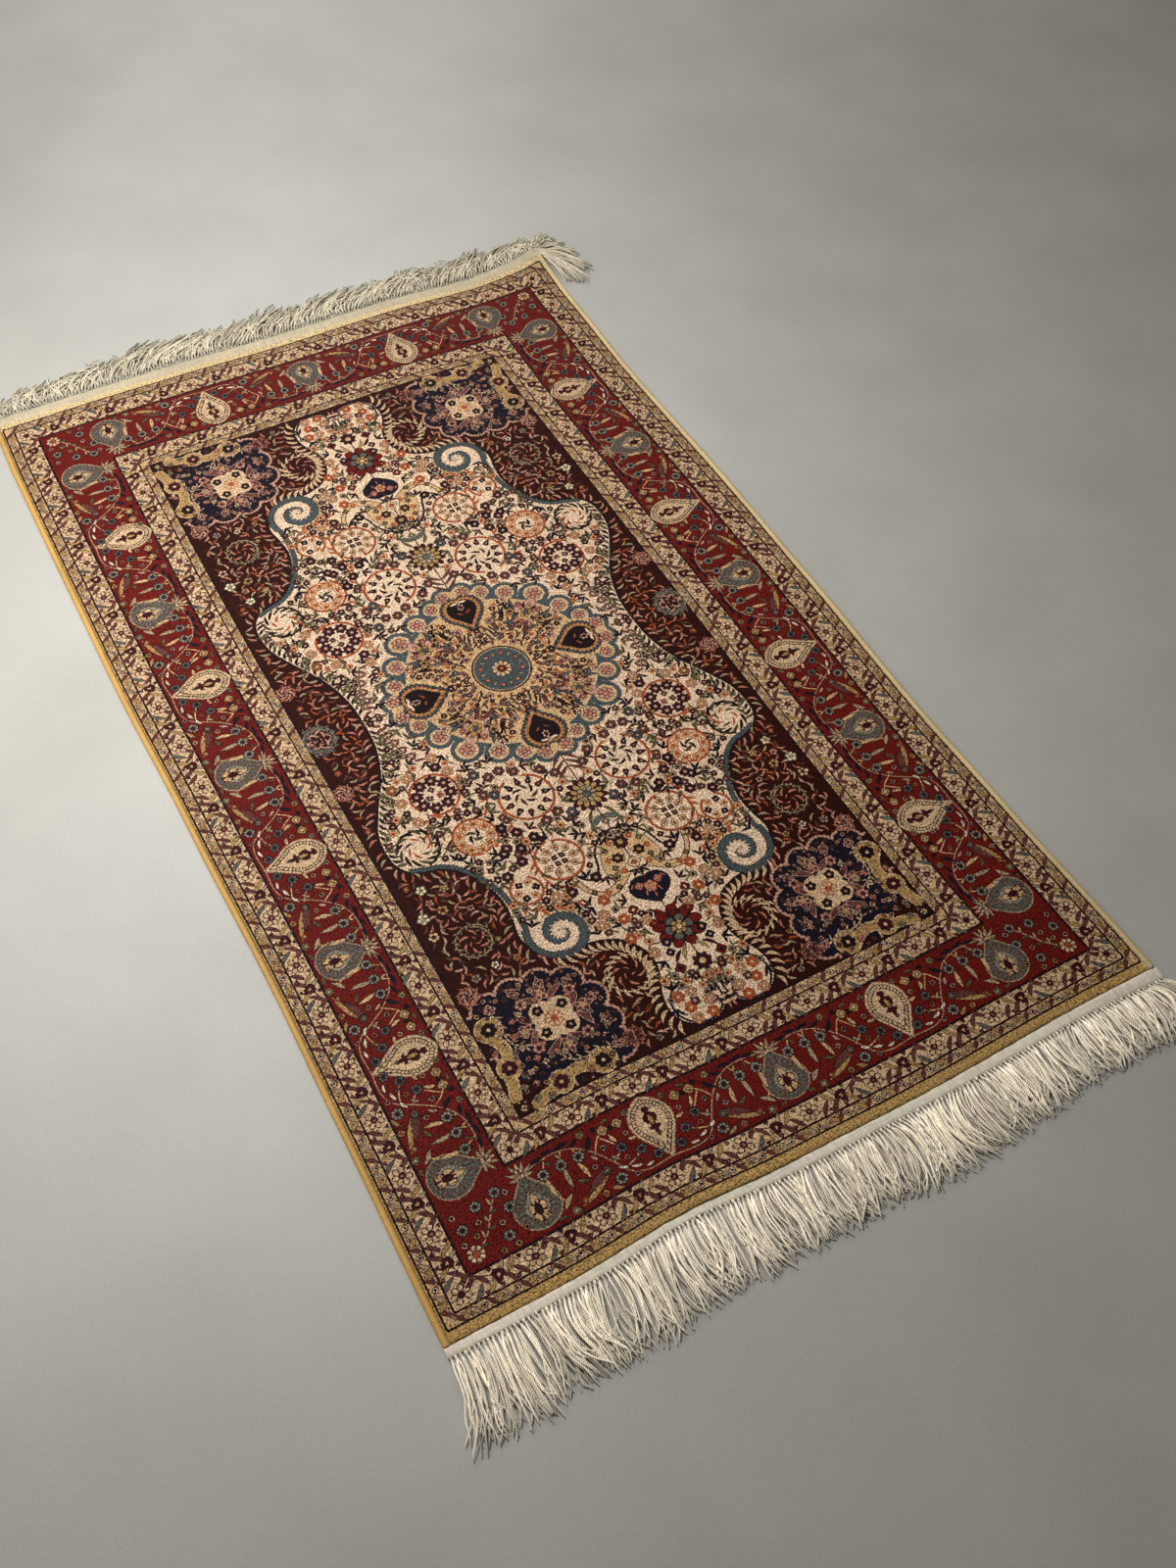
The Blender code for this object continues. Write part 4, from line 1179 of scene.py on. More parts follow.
def draw_vines(design):
    """The ivory ground's coiled vines with what they carry, and the column of flowers along the axis."""
    for centre, radius, start, end, last, dye in COILS:
        design.vine(FOUR, arc(centre, radius, start, end, last), 1.7, dye, 0.4)
        design.take(*centre, radius + 4)
    for points in (
            ((105, 205), (106, 235), (102, 262), (108, 300)), ((88, 174), (110, 180), (128, 205)),
            ((186, 177), (200, 190), (206, 214)), ((108, 300), (106, 330), (92, 344), (76, 352)),
            ((155, 196), (168, 186), (186, 178)), ((150, 342), (140, 358), (110, 366), (84, 372))):
        line = smooth_line(points)
        design.vine(FOUR, line, 1.3, "rust")
        leaves_along(design, FOUR, line, (("rust", "rust"), ("dark", "olive")), (6, 2), 11)
    ring_of(design, (69, 203), 25, 11, 10, "bloom", (6.4, 4.4), (("dark", "burgundy", "salmon"),
            ("dark", "dark", "rose")), 3, tip=0.4)
    ring_of(design, (69, 199), 12, 7, 0, "leaf", (6, 2.0), (("dark", "dark"), ("dark", "olive")), 0, 50,
            tip=0.5, bend=0.5)
    ring_of(design, (170, 146), 21.5, 8, -60, "bloom", 9.4, (("dark", "burgundy", "rose"),), 7)
    ring_of(design, (170, 146), 8, 3, 30, "bloom", 5, (("dark", "mauve", "rose"),
            ("burgundy", "salmon", "rust")), 4)
    ring_of(design, (154, 229), 20, 9, 10, "bloom", 7.6, (("rust", "tan", "rust"),), 5)
    ring_of(design, (154, 227), 6, 4, 20, "leaf", (6, 2.4), (("dark", "dark"), ("dark", "olive")), 0, 50,
            tip=0.5, bend=0.5)
    ring_of(design, (78, 306), 19, 9, 20, "bloom", (7, 5), (("burgundy", "tan", "rust"),), 4, tip=0.4)
    ring_of(design, (78, 306), 7, 4, 45, "bloom", 4.6, (("dark", "burgundy", "old gold"),), 4)
    ring_of(design, (134, 328), 12, 6, 0, "bloom", 5.4, (("rust", "tan", "burgundy"),
            ("dark", "navy", "rose")), 4)
    ring_of(design, (222, 210), 24, 13, 60, "leaf", (8.5, 2.1), (("dark", "dark"), ("dark", "olive")), 0, 60,
            tip=0.5, bend=0.6)
    ring_of(design, (222, 210), 13, 7, 60, "leaf", (5.5, 1.6), (("rust", "rust"), ("dark", "olive")), 0, 60,
            tip=0.5, bend=0.6)
    fern = smooth_line(((184, 14), (182, 40), (176, 66), (166, 88)))
    design.vine(FOUR, fern, 0.7, "olive")
    for line in (fern, fern[::-1]):
        leaves_along(design, FOUR, line, (("mauve", "mauve"),), (6, 2.2), 8, 55)
    for at in (18, 36, 54, 72, 90):
        design.take(185 - at * 0.2, at, 10)
    for x, y, dye in FREE_FLOWERS:
        core = "rose" if dye in ("dark", "navy", "burgundy", "mauve", "teal") else "cream"
        design.bloom((x, y), 8.2, ("dark" if core == "rose" else "rust", dye, core), 6, 0.2, 0.34,
                     turn=x * 7)
        design.take(x, y, 9)
    design.vine(FOUR, np.array([(0, y) for y in range(160, 541, 10)], float), 0.9, "burgundy")
    for x, y, size, turn, dye in (
            (11, 277, (12, 4.5), 30, "blue grey"), (12, 192, (13, 2.6), 40, "mauve"),
            (11, 181, (12, 2.4), 40, "mauve"), (10, 170, (10, 2.4), 40, "mauve"),
            (14, 268, (9, 2.6), 60, "olive"), (9, 430, (9, 2.6), -50, "red"),
            (12, 490, (9, 2.8), 60, "old gold"), (22, 492, (8, 2.6), 45, "burgundy")):
        design.leaf((x, y), size, ("dark", dye), tip=0.5, tail=0.3, turn=turn, bend=0.4)
        design.take(x, y, 11)
    tail = smooth_line(((20, 364), (36, 375), (52, 377), (65, 369), (73, 356), (76, 344)), 4)
    design.vine(FOUR, smooth_line(((0, 295), (20, 301), (36, 318), (43, 340), (53, 352), (64, 348),
                (72, 338))), 1.5, "dark", 0.6)
    for line, width in ((tail[:9], 6.0), (tail[8:], 3.6)):
        design.vine(FOUR, line, width, "tan", 0.1, "dark")
    design.body((21, 337), (32, 15), ("dark", "tan"), tip=0.4, tail=0.1, turn=-110)
    for number, (x, y) in enumerate((
            (14, 314), (24, 322), (27, 336), (25, 350), (17, 358), (34, 376), (50, 377), (64, 369))):
        dyes = (("rust", "rust", "cream"), ("dark", "olive", "rose"))[number % 2]
        design.bloom((x, y), 4.6, dyes, 4, 0.3, 0.35)
    design.body((0, 390), (20, 27), ("dark", "navy"), tip=0.42, tail=-0.25, turn=90)
    for x, y in ((0, 405), (9, 399), (21, 384)):
        design.eye((x, y), (5, 1.6), ("dark", "salmon"), tip=0.4, turn=90 - 2 * x)
    for layer, x, y, size, rim, petals, core, count in AXIS_FLOWERS:
        if layer != "bloom":
            design.motif(layer, FOUR, (x, y), size, (rim, petals, core), count, 0.26, 0.5)
        else:
            design.motif(layer, FOUR, (x, y), size, (rim, petals, core), count, 0.24, 0.4)
        design.take(x, y, size + 2)
    for place in (
            (20, 337, 27), (20, 372, 14), (40, 378, 13), (58, 374, 13), (72, 358, 11), (0, 395, 28),
            (16, 388, 16)):
        design.take(*place)


def draw_spandrels(design):
    """What lies on the dark ground between the ivory and the frame: coils, feathers and white flowers."""
    for centre, radius, start, dyes in (
            ((222, 362), 27, -150, ("beige", "salmon")), ((84, 484), 30, -20, ("cream", "salmon")),
            ((262, 2), 25, 60, ("silver", "rose")), ((268, 92), 15, 90, ("salmon", "rose")),
            ((120, 560), 15, 20, ("salmon", "mauve")), ((262, 425), 15, 60, ("salmon", "rose"))):
        pale = dyes[0] == "cream"
        design.vine(FOUR, arc(centre, radius - 3, start, start + 400, radius * 0.74), 0.7, dyes[0])
        for number, turn in enumerate(np.arange(0, 390, 330 / radius)):
            side = -1 if number % 2 and not pale else 1
            reach = (radius - 3) * (1 - 0.24 * turn / 390) + 2.2 * side
            size = (7.6, 2.5) if pale else (4.4, 1.2)
            if not pale or number % 2:
                design.leaf(polar(centre, reach, start + turn), size, ("brown", dyes[0]), tip=0.5, tail=0.3,
                            turn=start + turn + 90 - 45 * side, bend=0.5)
        for reach, count, leaf in ((0.52, 6, 7.2), (0.2, 3, 4.6)):
            for number in range(count):
                turn = start + number * 360 / count + 200 * reach
                design.leaf(polar(centre, radius * reach, turn), (leaf, leaf * 0.3), ("brown", dyes[1]),
                            tip=0.6, tail=0.2, turn=turn + 50, bend=1.2)
        design.take(*centre, radius + 3)
    for place, size, dyes in (
            ((262, 306), 8.5, ("olive", "white", "old gold")),
            ((262, 334), 8, ("burgundy", "cream", "burgundy")),
            ((236, 305), 8, ("burgundy", "old gold", "burgundy")),
            ((246, 289), 6.5, ("brown", "rose", "rust")), ((221, 278), 7, ("burgundy", "old gold", "cream")),
            ((247, 268), 7.5, ("olive", "white", "old gold")), ((243, 408), 7, ("brown", "silver", "rust")),
            ((205, 318), 5.5, ("brown", "rose", "rust")), ((262, 60), 6, ("brown", "rust", "cream")),
            ((250, 92), 5.5, ("brown", "salmon", "cream")), ((215, 402), 6, ("brown", "white", "rust")),
            ((188, 405), 6, ("brown", "old gold", "rust")), ((232, 50), 6, ("brown", "rust", "cream")),
            ((95, 575), 5.5, ("brown", "silver", "rust")), ((266, 160), 5.5, ("brown", "rust", "cream")),
            ((112, 525), 4.8, ("brown", "old gold", "cream")), ((262, 258), 5.5, ("brown", "rust", "cream")),
            ((196, 372), 4.8, ("brown", "old gold", "cream"))):
        design.bloom(place, size, dyes, 5, 0.3, 0.34)
        design.take(*place, size + 1)


def draw_filling(design):
    """Small sprigs on the ivory, curls on the dark ground and buds on the medallion's tan."""
    def ivory(row, column, place):
        return design.shore[row, column] > 5 and design.medallion[row, column] < -7

    def dark(row, column, place):
        return (design.shore[row, column] < -5 and place[0] < 268 and place[1] < 580
                and design.corner[row, column] < -4)

    def corner(row, column, place):
        return design.corner[row, column] > 5

    def medallion(row, column, place):
        return math.hypot(*place) > 46 and design.medallion[row, column] > 8

    def sprig(place, random):
        turn = random.uniform(0, 360)
        kind = random.integers(0, 8)
        if kind < 4:
            dye = ("navy", "olive", "burgundy", "dark")[kind]
            for side in (-1, 0, 1):
                way = turn + 55 * side
                design.leaf(polar(place, 4.2, way), (6.2, 2.1), ("dark", dye), tip=0.5, turn=way,
                            bend=0.4 * side)
        else:
            dyes = (("dark", "mauve", "rose"), ("rust", "tan", "burgundy"), ("dark", "beige", "burgundy"),
                    ("dark", "burgundy", "rose"))[kind - 4]
            design.bloom(place, random.uniform(5, 6.4), dyes, 5, 0.25, 0.36, turn=turn)
            for side in (-1, 1):
                design.leaf(polar(place, 8, turn + 35 * side), (4.8, 1.5), ("olive", "olive"), tip=0.5,
                            turn=turn + 60 * side, bend=0.4)

    def curl(place, random):
        turn = random.uniform(0, 360)
        dye = ("salmon", "mauve", "rust", "rose", "beige", "salmon")[random.integers(0, 6)]
        design.leaf(place, (6.8, 2.1), ("brown", dye), tip=0.5, tail=0.3, turn=turn, bend=1.1)

    def bud(place, random):
        turn = random.uniform(0, 360)
        dyes = (("burgundy", "mauve", "rose"), ("navy", "teal", "rose"), ("rust", "old gold", "burgundy"),
                ("dark", "burgundy", "rose"), ("dark", "dark", "salmon"))[random.integers(0, 5)]
        if random.uniform() < 0.5:
            design.bloom(place, 4.0, dyes, 4, 0.3, 0.35, turn=turn)
        else:
            design.leaf(place, (5.6, 1.8), dyes, tip=0.5, tail=0.3, turn=turn, bend=0.6)

    def floret(place, random):
        dyes = (("dark", "mauve", "rose"), ("dark", "rose", "burgundy"), ("burgundy", "tan", "rust"),
                ("dark", "mauve", "dark"))[random.integers(0, 4)]
        design.bloom(place, 4.2, dyes, 4, 0.3, 0.36, turn=random.uniform(0, 90))

    scatter(design, ivory, 11.6, 3, sprig)
    scatter(design, dark, 9.4, 4, curl)
    scatter(design, medallion, 7.6, 6, bud)
    scatter(design, corner, 10.5, 9, floret)


def draw_design(xs, ys):
    design = Design(xs, ys)
    draw_bands(design)
    draw_stripe(design, band_middle("outer line", "outer stripe"))
    draw_stripe(design, band_middle("inner stripe", "field"))
    draw_guard(design, band_middle("outer stripe", "border"))
    draw_guard(design, band_middle("border inside", "inner stripe"))
    draw_border(design)
    draw_shore(design)
    draw_medallion(design)
    draw_corner_medallions(design)
    draw_vines(design)
    draw_spandrels(design)
    draw_filling(design)
    return design


def keep_design(piece, design, cells):
    """Writes the design of a piece's cells to its mesh: places to face corners, the rest to faces."""
    mesh = piece.data
    count = len(cells[0])
    kept = [("edge", design.edges), ("vine", design.vines), *design.layers.items()]
    for name, values in kept:
        for part, array in values.items():
            if part == "level":
                continue
            at_corners = part == "place"
            attribute = mesh.attributes.new(f"{name}_{part}", "FLOAT_VECTOR",
                "CORNER" if at_corners else "FACE")
            total = len(mesh.loops) if at_corners else len(mesh.polygons)
            whole = np.zeros((total, 3), np.float32)
            if at_corners:
                whole[:] = -99 if name == "edge" else 99
                whole[:4 * count] = array[cells].reshape(-1, 3)
            else:
                whole[:count] = array[cells]
            attribute.data.foreach_set("vector", whole.ravel())


def grid_lines(half, marks, pitch):
    """Places from -half to half with one exactly at each mark and its mirror, and even steps between."""
    stops = np.unique(np.round([-half, half, *marks, *(-mark for mark in marks)], 7))
    runs = [
        np.linspace(low, high, max(round((high - low) / pitch), 1) + 1)[:-1]
        for low, high in zip(stops, stops[1:])
    ]
    return np.concatenate([*runs, [half]])


def pile_top(x, y):
    """Height of the pile: soft waves, rounded over at the rim on a quarter circle."""
    cross_waves = np.sin(x * math.tau / 0.37 + 0.6) * np.cos(y * math.tau / 0.57 - 0.4)
    slant_waves = np.sin((0.35 * x - 0.94 * y) * math.tau / 0.31)
    top = THICKNESS + UNDULATION * (0.6 * cross_waves + 0.4 * slant_waves)
    to_rim = np.minimum(HALF_WIDTH - SIDE_CORD_WIDTH - np.abs(x), HALF_LENGTH - np.abs(y))
    inward = np.clip(1 - to_rim / SHOULDER, 0, 1)
    return top - SHOULDER * (1 - np.sqrt(1 - inward ** 2))


def pile_slab(name, xs, ys, keep, backs, material):
    """A closed slab of pile over the kept cells of the grid.

    Its top is a quad for each cell, its walls hang from the kept cells' rims down to the pile's back, and
    the back is one flat face for each rectangle of grid lines in backs.
    """
    rows, columns = len(ys), len(xs)
    x, y = np.meshgrid(xs, ys)
    ids = np.arange(rows * columns).reshape(rows, columns)
    row, column = np.nonzero(keep)
    tops = np.stack([ids[row, column], ids[row, column + 1], ids[row + 1, column + 1], ids[row + 1, column]],
                    1)
    padded = np.pad(keep, 1)
    upright = padded[1:-1, :-1].astype(int) - padded[1:-1, 1:]
    level = padded[:-1, 1:-1].astype(int) - padded[1:, 1:-1]
    edges = []
    for sign in (1, -1):
        at, line = np.nonzero(upright == sign)
        pair = np.stack([ids[at, line], ids[at + 1, line]], 1)
        edges.append(pair if sign > 0 else pair[:, ::-1])
        line, at = np.nonzero(level == sign)
        pair = np.stack([ids[line, at + 1], ids[line, at]], 1)
        edges.append(pair if sign > 0 else pair[:, ::-1])
    edges = np.concatenate(edges)
    size = rows * columns
    walls = np.stack([edges[:, 0] + size, edges[:, 1] + size, edges[:, 1], edges[:, 0]], 1)
    on_rim = np.zeros(size, bool)
    on_rim[edges] = True
    flats = []
    for first_column, last_column, first_row, last_row in backs:
        ring = np.concatenate([
            ids[first_row, first_column:last_column], ids[first_row:last_row, last_column],
            ids[last_row, last_column:first_column:-1], ids[last_row:first_row:-1, first_column]])
        flats.append((ring[on_rim[ring]] + size)[None, ::-1])
    used = np.unique(np.concatenate([tops.ravel(), walls.ravel()]))
    new_number = np.zeros(2 * size, np.int64)
    new_number[used] = np.arange(len(used))
    upper = np.column_stack([x.ravel(), y.ravel(), pile_top(x, y).ravel()])
    lower = np.column_stack([x.ravel(), y.ravel(), np.full(size, PILE_BACK)])
    points = lay(np.vstack([upper, lower])[used])
    polygons = [new_number[tops], new_number[walls], *(new_number[flat] for flat in flats)]
    flat = np.column_stack([x.ravel(), y.ravel()])
    lower_loops = np.concatenate([ring.ravel() for ring in flats]) - size
    maps = flat[np.vstack([tops, walls]) % size], flat[lower_loops]
    return mesh_piece(name, points, polygons, material, 40), (row, column), maps


def tubes(paths, radii, sides):
    """Round cords along paths (cords, steps, 3), as points and polygons.

    At each step a ring stands square to the way the path runs: centre + radius * (cos t * across + sin t *
    up). Rings are joined by quads, and the two end rings are closed.
    """
    cords, steps = paths.shape[:2]
    ahead = np.gradient(paths, axis=1)
    ahead /= np.linalg.norm(ahead, axis=-1, keepdims=True)
    across = np.cross(ahead, (0, 0, 1))
    across /= np.maximum(np.linalg.norm(across, axis=-1, keepdims=True), 1e-9)
    up = np.cross(across, ahead)
    turns = np.arange(sides) * math.tau / sides
    spokes = np.cos(turns)[:, None] * across[:, :, None] + np.sin(turns)[:, None] * up[:, :, None]
    points = paths[:, :, None] + radii[:, :, None, None] * spokes
    ids = np.arange(cords * steps * sides).reshape(cords, steps, sides)
    turned = np.roll(ids, -1, axis=2)
    quads = np.stack([ids[:, :-1], ids[:, 1:], turned[:, 1:], turned[:, :-1]], -1).reshape(-1, 4)
    return points.reshape(-1, 3), [quads, ids[:, 0], ids[:, -1, ::-1]]


def fold_map(piece, stations, around, rows, turned=False):
    """The OFBake map of one long closed band: its run cut into rows, and its round within a row.

    u = the share of a row's run, v = (row + 0.05 + 0.9 * share of the round) / rows.
    """
    per_row = -(-(stations - 1) // rows)
    station, place = np.meshgrid(np.arange(stations - 1), np.arange(around), indexing="ij")
    row, run = np.divmod(station, per_row)
    u = (run[..., None] + np.array((0, 1, 1, 0))) / per_row
    v = (row[..., None] + 0.05 + 0.9 * (place[..., None] + np.array((0, 0, 1, 1))) / around) / rows
    places = np.stack([u, v], -1)
    if turned:
        places = places[:, :, ::-1]
    add_map(piece, "OFBake", np.vstack([places.reshape(-1, 2), np.full((2 * around, 2), 0.5)]))


def slab_map(piece, places, backs, rows, half, hole):
    """The OFBake map of a slab of pile: places (faces, 4, 2) for its top and walls, then backs loops.

    A slab without a hole is laid flat. A frame is cut into rows: its run goes along the near side, the far
    side, the left and the right; u = the share of a row's run, v = (row + share of the width) / rows.
    The back is a thin strip below.
    """
    (half_x, half_y), shares = half, np.zeros(places.shape)
    if rows:
        x, y = places[..., 0], places[..., 1]
        middle = places.mean(axis=1)
        at_end = np.abs(middle[:, 1]) > hole[1]
        first = np.where(at_end, middle[:, 1], middle[:, 0]) < 0
        along_x, along_y = x + half_x, y + hole[1]
        ends, sides = 2 * half_x, 2 * hole[1]
        run = np.where(at_end[:, None], along_x + np.where(first, 0, ends)[:, None],
                       2 * ends + along_y + np.where(first, 0, sides)[:, None])
        across = np.where(at_end[:, None], half_y - np.abs(y), half_x - np.abs(x))
        width = np.where(at_end, half_y - hole[1], half_x - hole[0])[:, None]
        length = 2 * (ends + sides) / rows
        row = np.clip(run.mean(axis=1) // length, 0, rows - 1)[:, None]
        shares[..., 0] = 0.01 + 0.98 * (run / length - row)
        shares[..., 1] = (row + 0.04 + 0.92 * np.clip(across / width, 0, 1)) / rows
    else:
        shares[:] = (places / np.array(half) + 1) / 2
    shares = 0.02 + 0.98 * np.clip(shares, 0, 1)
    low = (backs / np.array(half) + 1) / 2 * np.array([1, 0.015])
    add_map(piece, "OFBake", np.vstack([shares.reshape(-1, 2), low]))


def tube_maps(piece, lengths, sides):
    """Two UV maps for cords: Yarn runs once round and in millimetres along, and OFBake packs the cords.

    lengths (cords, steps) are how far along its cord each ring is.
    """
    cords, steps = lengths.shape
    round_it = np.arange(sides) / sides
    u = np.broadcast_to(round_it[None, None, :], (cords, steps - 1, sides))
    v = lengths[:, :-1, None] + 0 * u
    w = lengths[:, 1:, None] + 0 * u
    share = 1 / sides
    yarn = np.stack([u, v, u, w, u + share, w, u + share, v], -1).reshape(-1, 2)
    caps = np.zeros((2 * cords * sides, 2))
    add_map(piece, "Yarn", np.vstack([yarn, caps]))
    shades = np.arange(cords) * 0.618034 % 1
    strand = piece.data.attributes.new("strand", "FLOAT", "FACE")
    strand.data.foreach_set("value", np.concatenate([np.repeat(shades, (steps - 1) * sides), shades,
                            shades]))
    across = math.ceil(math.sqrt(cords * 2))
    down = math.ceil(cords / across)
    number = np.arange(cords)
    place = np.stack([number % across / across, number // across / down], -1)
    whole = lengths[:, -1:, None]
    bake_u = place[:, 0, None, None] + (0.05 + 0.9 * u) / across
    bake_w = place[:, 0, None, None] + (0.05 + 0.9 * (u + share)) / across
    low = place[:, 1, None, None] + (0.04 + 0.92 * v / whole) / down
    high = place[:, 1, None, None] + (0.04 + 0.92 * w / whole) / down
    packed = np.stack([bake_u, low, bake_u, high, bake_w, high, bake_w, low], -1).reshape(-1, 2)
    ends = np.repeat(place + 0.5 / np.array([across, down]), sides, axis=0)
    add_map(piece, "OFBake", np.vstack([packed, ends, ends]))


def cord_lengths(paths):
    """How far along its cord, in millimetres, each point of each path lies."""
    steps = np.linalg.norm(np.diff(paths, axis=1), axis=-1) * 1000
    return np.concatenate([np.zeros((len(paths), 1)), np.cumsum(steps, axis=1)], axis=1)


def fringe_paths(table, knot_places, each, style, random):
    """Middle lines of cords (cords, steps, 3) for a fringe that points to +Y, before lay().

    A cord leaves its knot square, spreads to its own place beside it, leans over by the table's amount with
    a power of its length, is drawn towards its lock's middle, swings with its lock and waves by itself. Its
    height falls from the knot to the floor, with its own layer's height in between.
    """
    share = np.linspace(0, 1, CORD_STEPS)[None, :]
    roots = np.repeat(knot_places, each)
    count = len(roots)
    outer = HALF_LENGTH + CLEARANCE + along(table, "x", "heading", roots) + 0.003
    lock_count = round(2 * HALF_WIDTH / style["lock"])
    locks = np.linspace(-HALF_WIDTH, HALF_WIDTH, lock_count + 1)
    locks += random.uniform(-0.4, 0.4, locks.shape) * style["lock"]
    locks.sort()
    lock = np.searchsorted(locks, roots).clip(1, lock_count) - 1
    middle = (locks[lock] + locks[lock + 1]) / 2
    centres = (locks[:-1] + locks[1:]) / 2
    lock_lean = np.interp(roots, centres, random.normal(0, style["lock lean"], lock_count))
    lock_swing = np.interp(roots, centres, random.normal(0, style["swing"], lock_count))
    length = along(table, "x", "length", roots) * random.uniform(*style["trim"], count)
    length *= random.uniform(*style["lock trim"], lock_count + 1)[lock]
    lean = along(table, "x", "tips", roots) + lock_lean + random.normal(0, style["spread"], count)
    drawn = (middle - roots) * style["draw"]
    wave = random.normal(0, style["wave"], count)
    beat = random.uniform(0.8, 2.2, count)
    phase = random.uniform(0, math.tau, count)
    swings = np.sin(math.tau * beat[:, None] * share + phase[:, None]) - np.sin(phase)[:, None]
    ripple = wave[:, None] * swings
    side = lean[:, None] * share ** 1.4 + drawn[:, None] * share ** 1.2 + ripple * share
    side += lock_swing[:, None] * np.sin(math.pi * share ** 0.9)
    side += random.uniform(-0.0022, 0.0022, count)[:, None] * np.minimum(share / 0.12, 1)
    curl = random.normal(0, style["curl"], count)[:, None] * share ** 4
    x = roots[:, None] + side + curl
    y = outer[:, None] + length[:, None] * share - np.abs(curl) * 0.7 - 0.001
    layer = random.uniform(0, 1, count)[:, None] * style["layers"]
    start = random.uniform(0.0012, 0.0022, count)[:, None]
    z = style["radius"] + start * (1 - share) ** 6 + layer * np.sin(math.pi * share ** 0.7) ** 0.8
    z += layer * 0.35 * share * random.uniform(0, 1, count)[:, None]
    return np.stack([x, y, z], -1)


def bunch_paths(random):
    """Middle lines of the cords that are turned round the far right corner, and of the loose loop.

    Each is a curve with one bend: root * (1-t)^2 + bend * 2t(1-t) + tip * t^2, with both drawn at random
    round its bunch's own, and a hump over the cords below.
    """
    share = np.linspace(0, 1, CORD_STEPS)[None, :, None]
    paths = []
    for number, lock in enumerate(CORNER_LOCKS):
        root = np.array([HALF_WIDTH + 0.002, HALF_LENGTH + 0.003 + 0.0036 * number])
        root = root + random.normal(0, 0.0012, (BUNCH_CORDS, 2))
        bend = np.array(lock["bend"]) / 1000 + random.normal(0, 0.004, (BUNCH_CORDS, 2))
        tip = np.array(lock["tip"]) / 1000 + random.normal(0, 0.006, (BUNCH_CORDS, 2))
        flat = root[:, None] * (1 - share) ** 2 + bend[:, None] * 2 * share * (1 - share)
        flat = flat + tip[:, None] * share ** 2
        one_each = (BUNCH_CORDS, 1, 1)
        swing = random.normal(0, 0.0028, (BUNCH_CORDS, 1, 2))
        beat = random.uniform(0.8, 2.2, one_each)
        flat = flat + swing * np.sin(math.tau * share * beat + random.uniform(0, 6, one_each)) * share
        layer = random.uniform(0, 0.0075, one_each)
        height = 0.001 + layer * np.sin(math.pi * share * 0.92) ** 0.6 + 0.0015 * (1 - share) ** 3
        paths.append(np.concatenate([flat, height], -1))
    loop = smooth_line(np.array(LOOSE_LOOP), 2) / 1000
    run = np.linspace(0, len(loop) - 1, CORD_STEPS)
    flat = np.stack([np.interp(run, np.arange(len(loop)), loop[:, axis]) for axis in (0, 1)], -1)
    height = 0.0018 + 0.0035 * np.sin(math.pi * share[0])
    paths.append(np.concatenate([flat, height], -1)[None])
    return np.concatenate(paths)


NEAR_STYLE = {
    "lock": 0.026, "lock lean": 0.006, "swing": 0.0065, "trim": (0.84, 1.04), "lock trim": (0.96, 1.03),
    "spread": 0.0045, "draw": 0.16, "wave": 0.0026, "curl": 0.006, "layers": 0.0085, "radius": 0.001,
}
FAR_STYLE = {
    "lock": 0.021, "lock lean": 0.013, "swing": 0.006, "trim": (0.62, 1.10), "lock trim": (0.82, 1.08),
    "spread": 0.015, "draw": 0.15, "wave": 0.0048, "curl": 0.014, "layers": 0.0080, "radius": 0.001,
}


def heading_band(table):
    """A flat woven band with softly rounded edges, as points and polygons.

    Its section is a flattened round of 11 points from the pile's edge to the heading's outer edge, carried
    across the rug, and its top waves a little.
    """
    xs = np.linspace(-HALF_WIDTH, HALF_WIDTH, HEADING_STATIONS)
    inner = HALF_LENGTH + CLEARANCE
    width = along(table, "x", "heading", xs)
    shares = np.array([0, 0.03, 0.12, 0.3, 0.5, 0.7, 0.9, 0.98, 1, 0.66, 0.33])
    heights = np.array([0.15, 0.75, 0.96, 1, 1, 1, 0.92, 0.6, 0.1, 0.06, 0.06])
    y = inner + width[:, None] * shares
    wave = 0.00022 * np.sin(xs * math.tau / 0.043) + 0.00018 * np.sin(xs * math.tau / 0.0171 + 1.3)
    z = HEADING_THICKNESS * heights + np.where(heights > 0.5, wave[:, None], 0)
    x = xs[:, None] + 0 * y
    points = np.stack([x, y, z], -1).reshape(-1, 3)
    count = len(shares)
    ids = np.arange(len(xs) * count).reshape(len(xs), count)
    turned_ids = np.roll(ids, -1, axis=1)
    quads = np.stack([ids[:-1], ids[1:], turned_ids[1:], turned_ids[:-1]], -1).reshape(-1, 4)
    return points, [quads, ids[:1], ids[-1:, ::-1]]


def knots(table, roots, random):
    """A row of small knots along the heading's outer edge, as cords so short that each is a ball.

    At an angle t from one end to the other, a knot lies -cos t of its half length along the warp and is
    0.5 mm + 1.3 mm * sin t thick, times its own random share.
    """
    rings, sides = 5, 6
    outer = HALF_LENGTH + CLEARANCE + along(table, "x", "heading", roots)
    down = np.linspace(0, math.pi, rings)
    out = -np.cos(down) * 0.0026
    radius = (np.sin(down) * 0.0013 + 0.0005) * random.uniform(0.85, 1.15, (len(roots), 1))
    shift = random.normal(0, 0.0004, (len(roots), 1))
    paths = np.stack([
        roots[:, None] + shift + 0 * out, outer[:, None] + 0.0016 + shift + out,
        np.full((len(roots), rings), 0.0024)], -1)
    return paths, radius, sides


def add_cords(name, paths, radii, sides, turned, yarn):
    """A piece of round cords along paths of the true rectangle, mirrored along Y for the near end."""
    paths = lay(paths * np.array([1, -1 if turned else 1, 1]))
    points, polygons = tubes(paths, radii, sides)
    piece = mesh_piece(name, points, polygons, yarn, 80)
    tube_maps(piece, cord_lengths(paths), sides)
    return piece


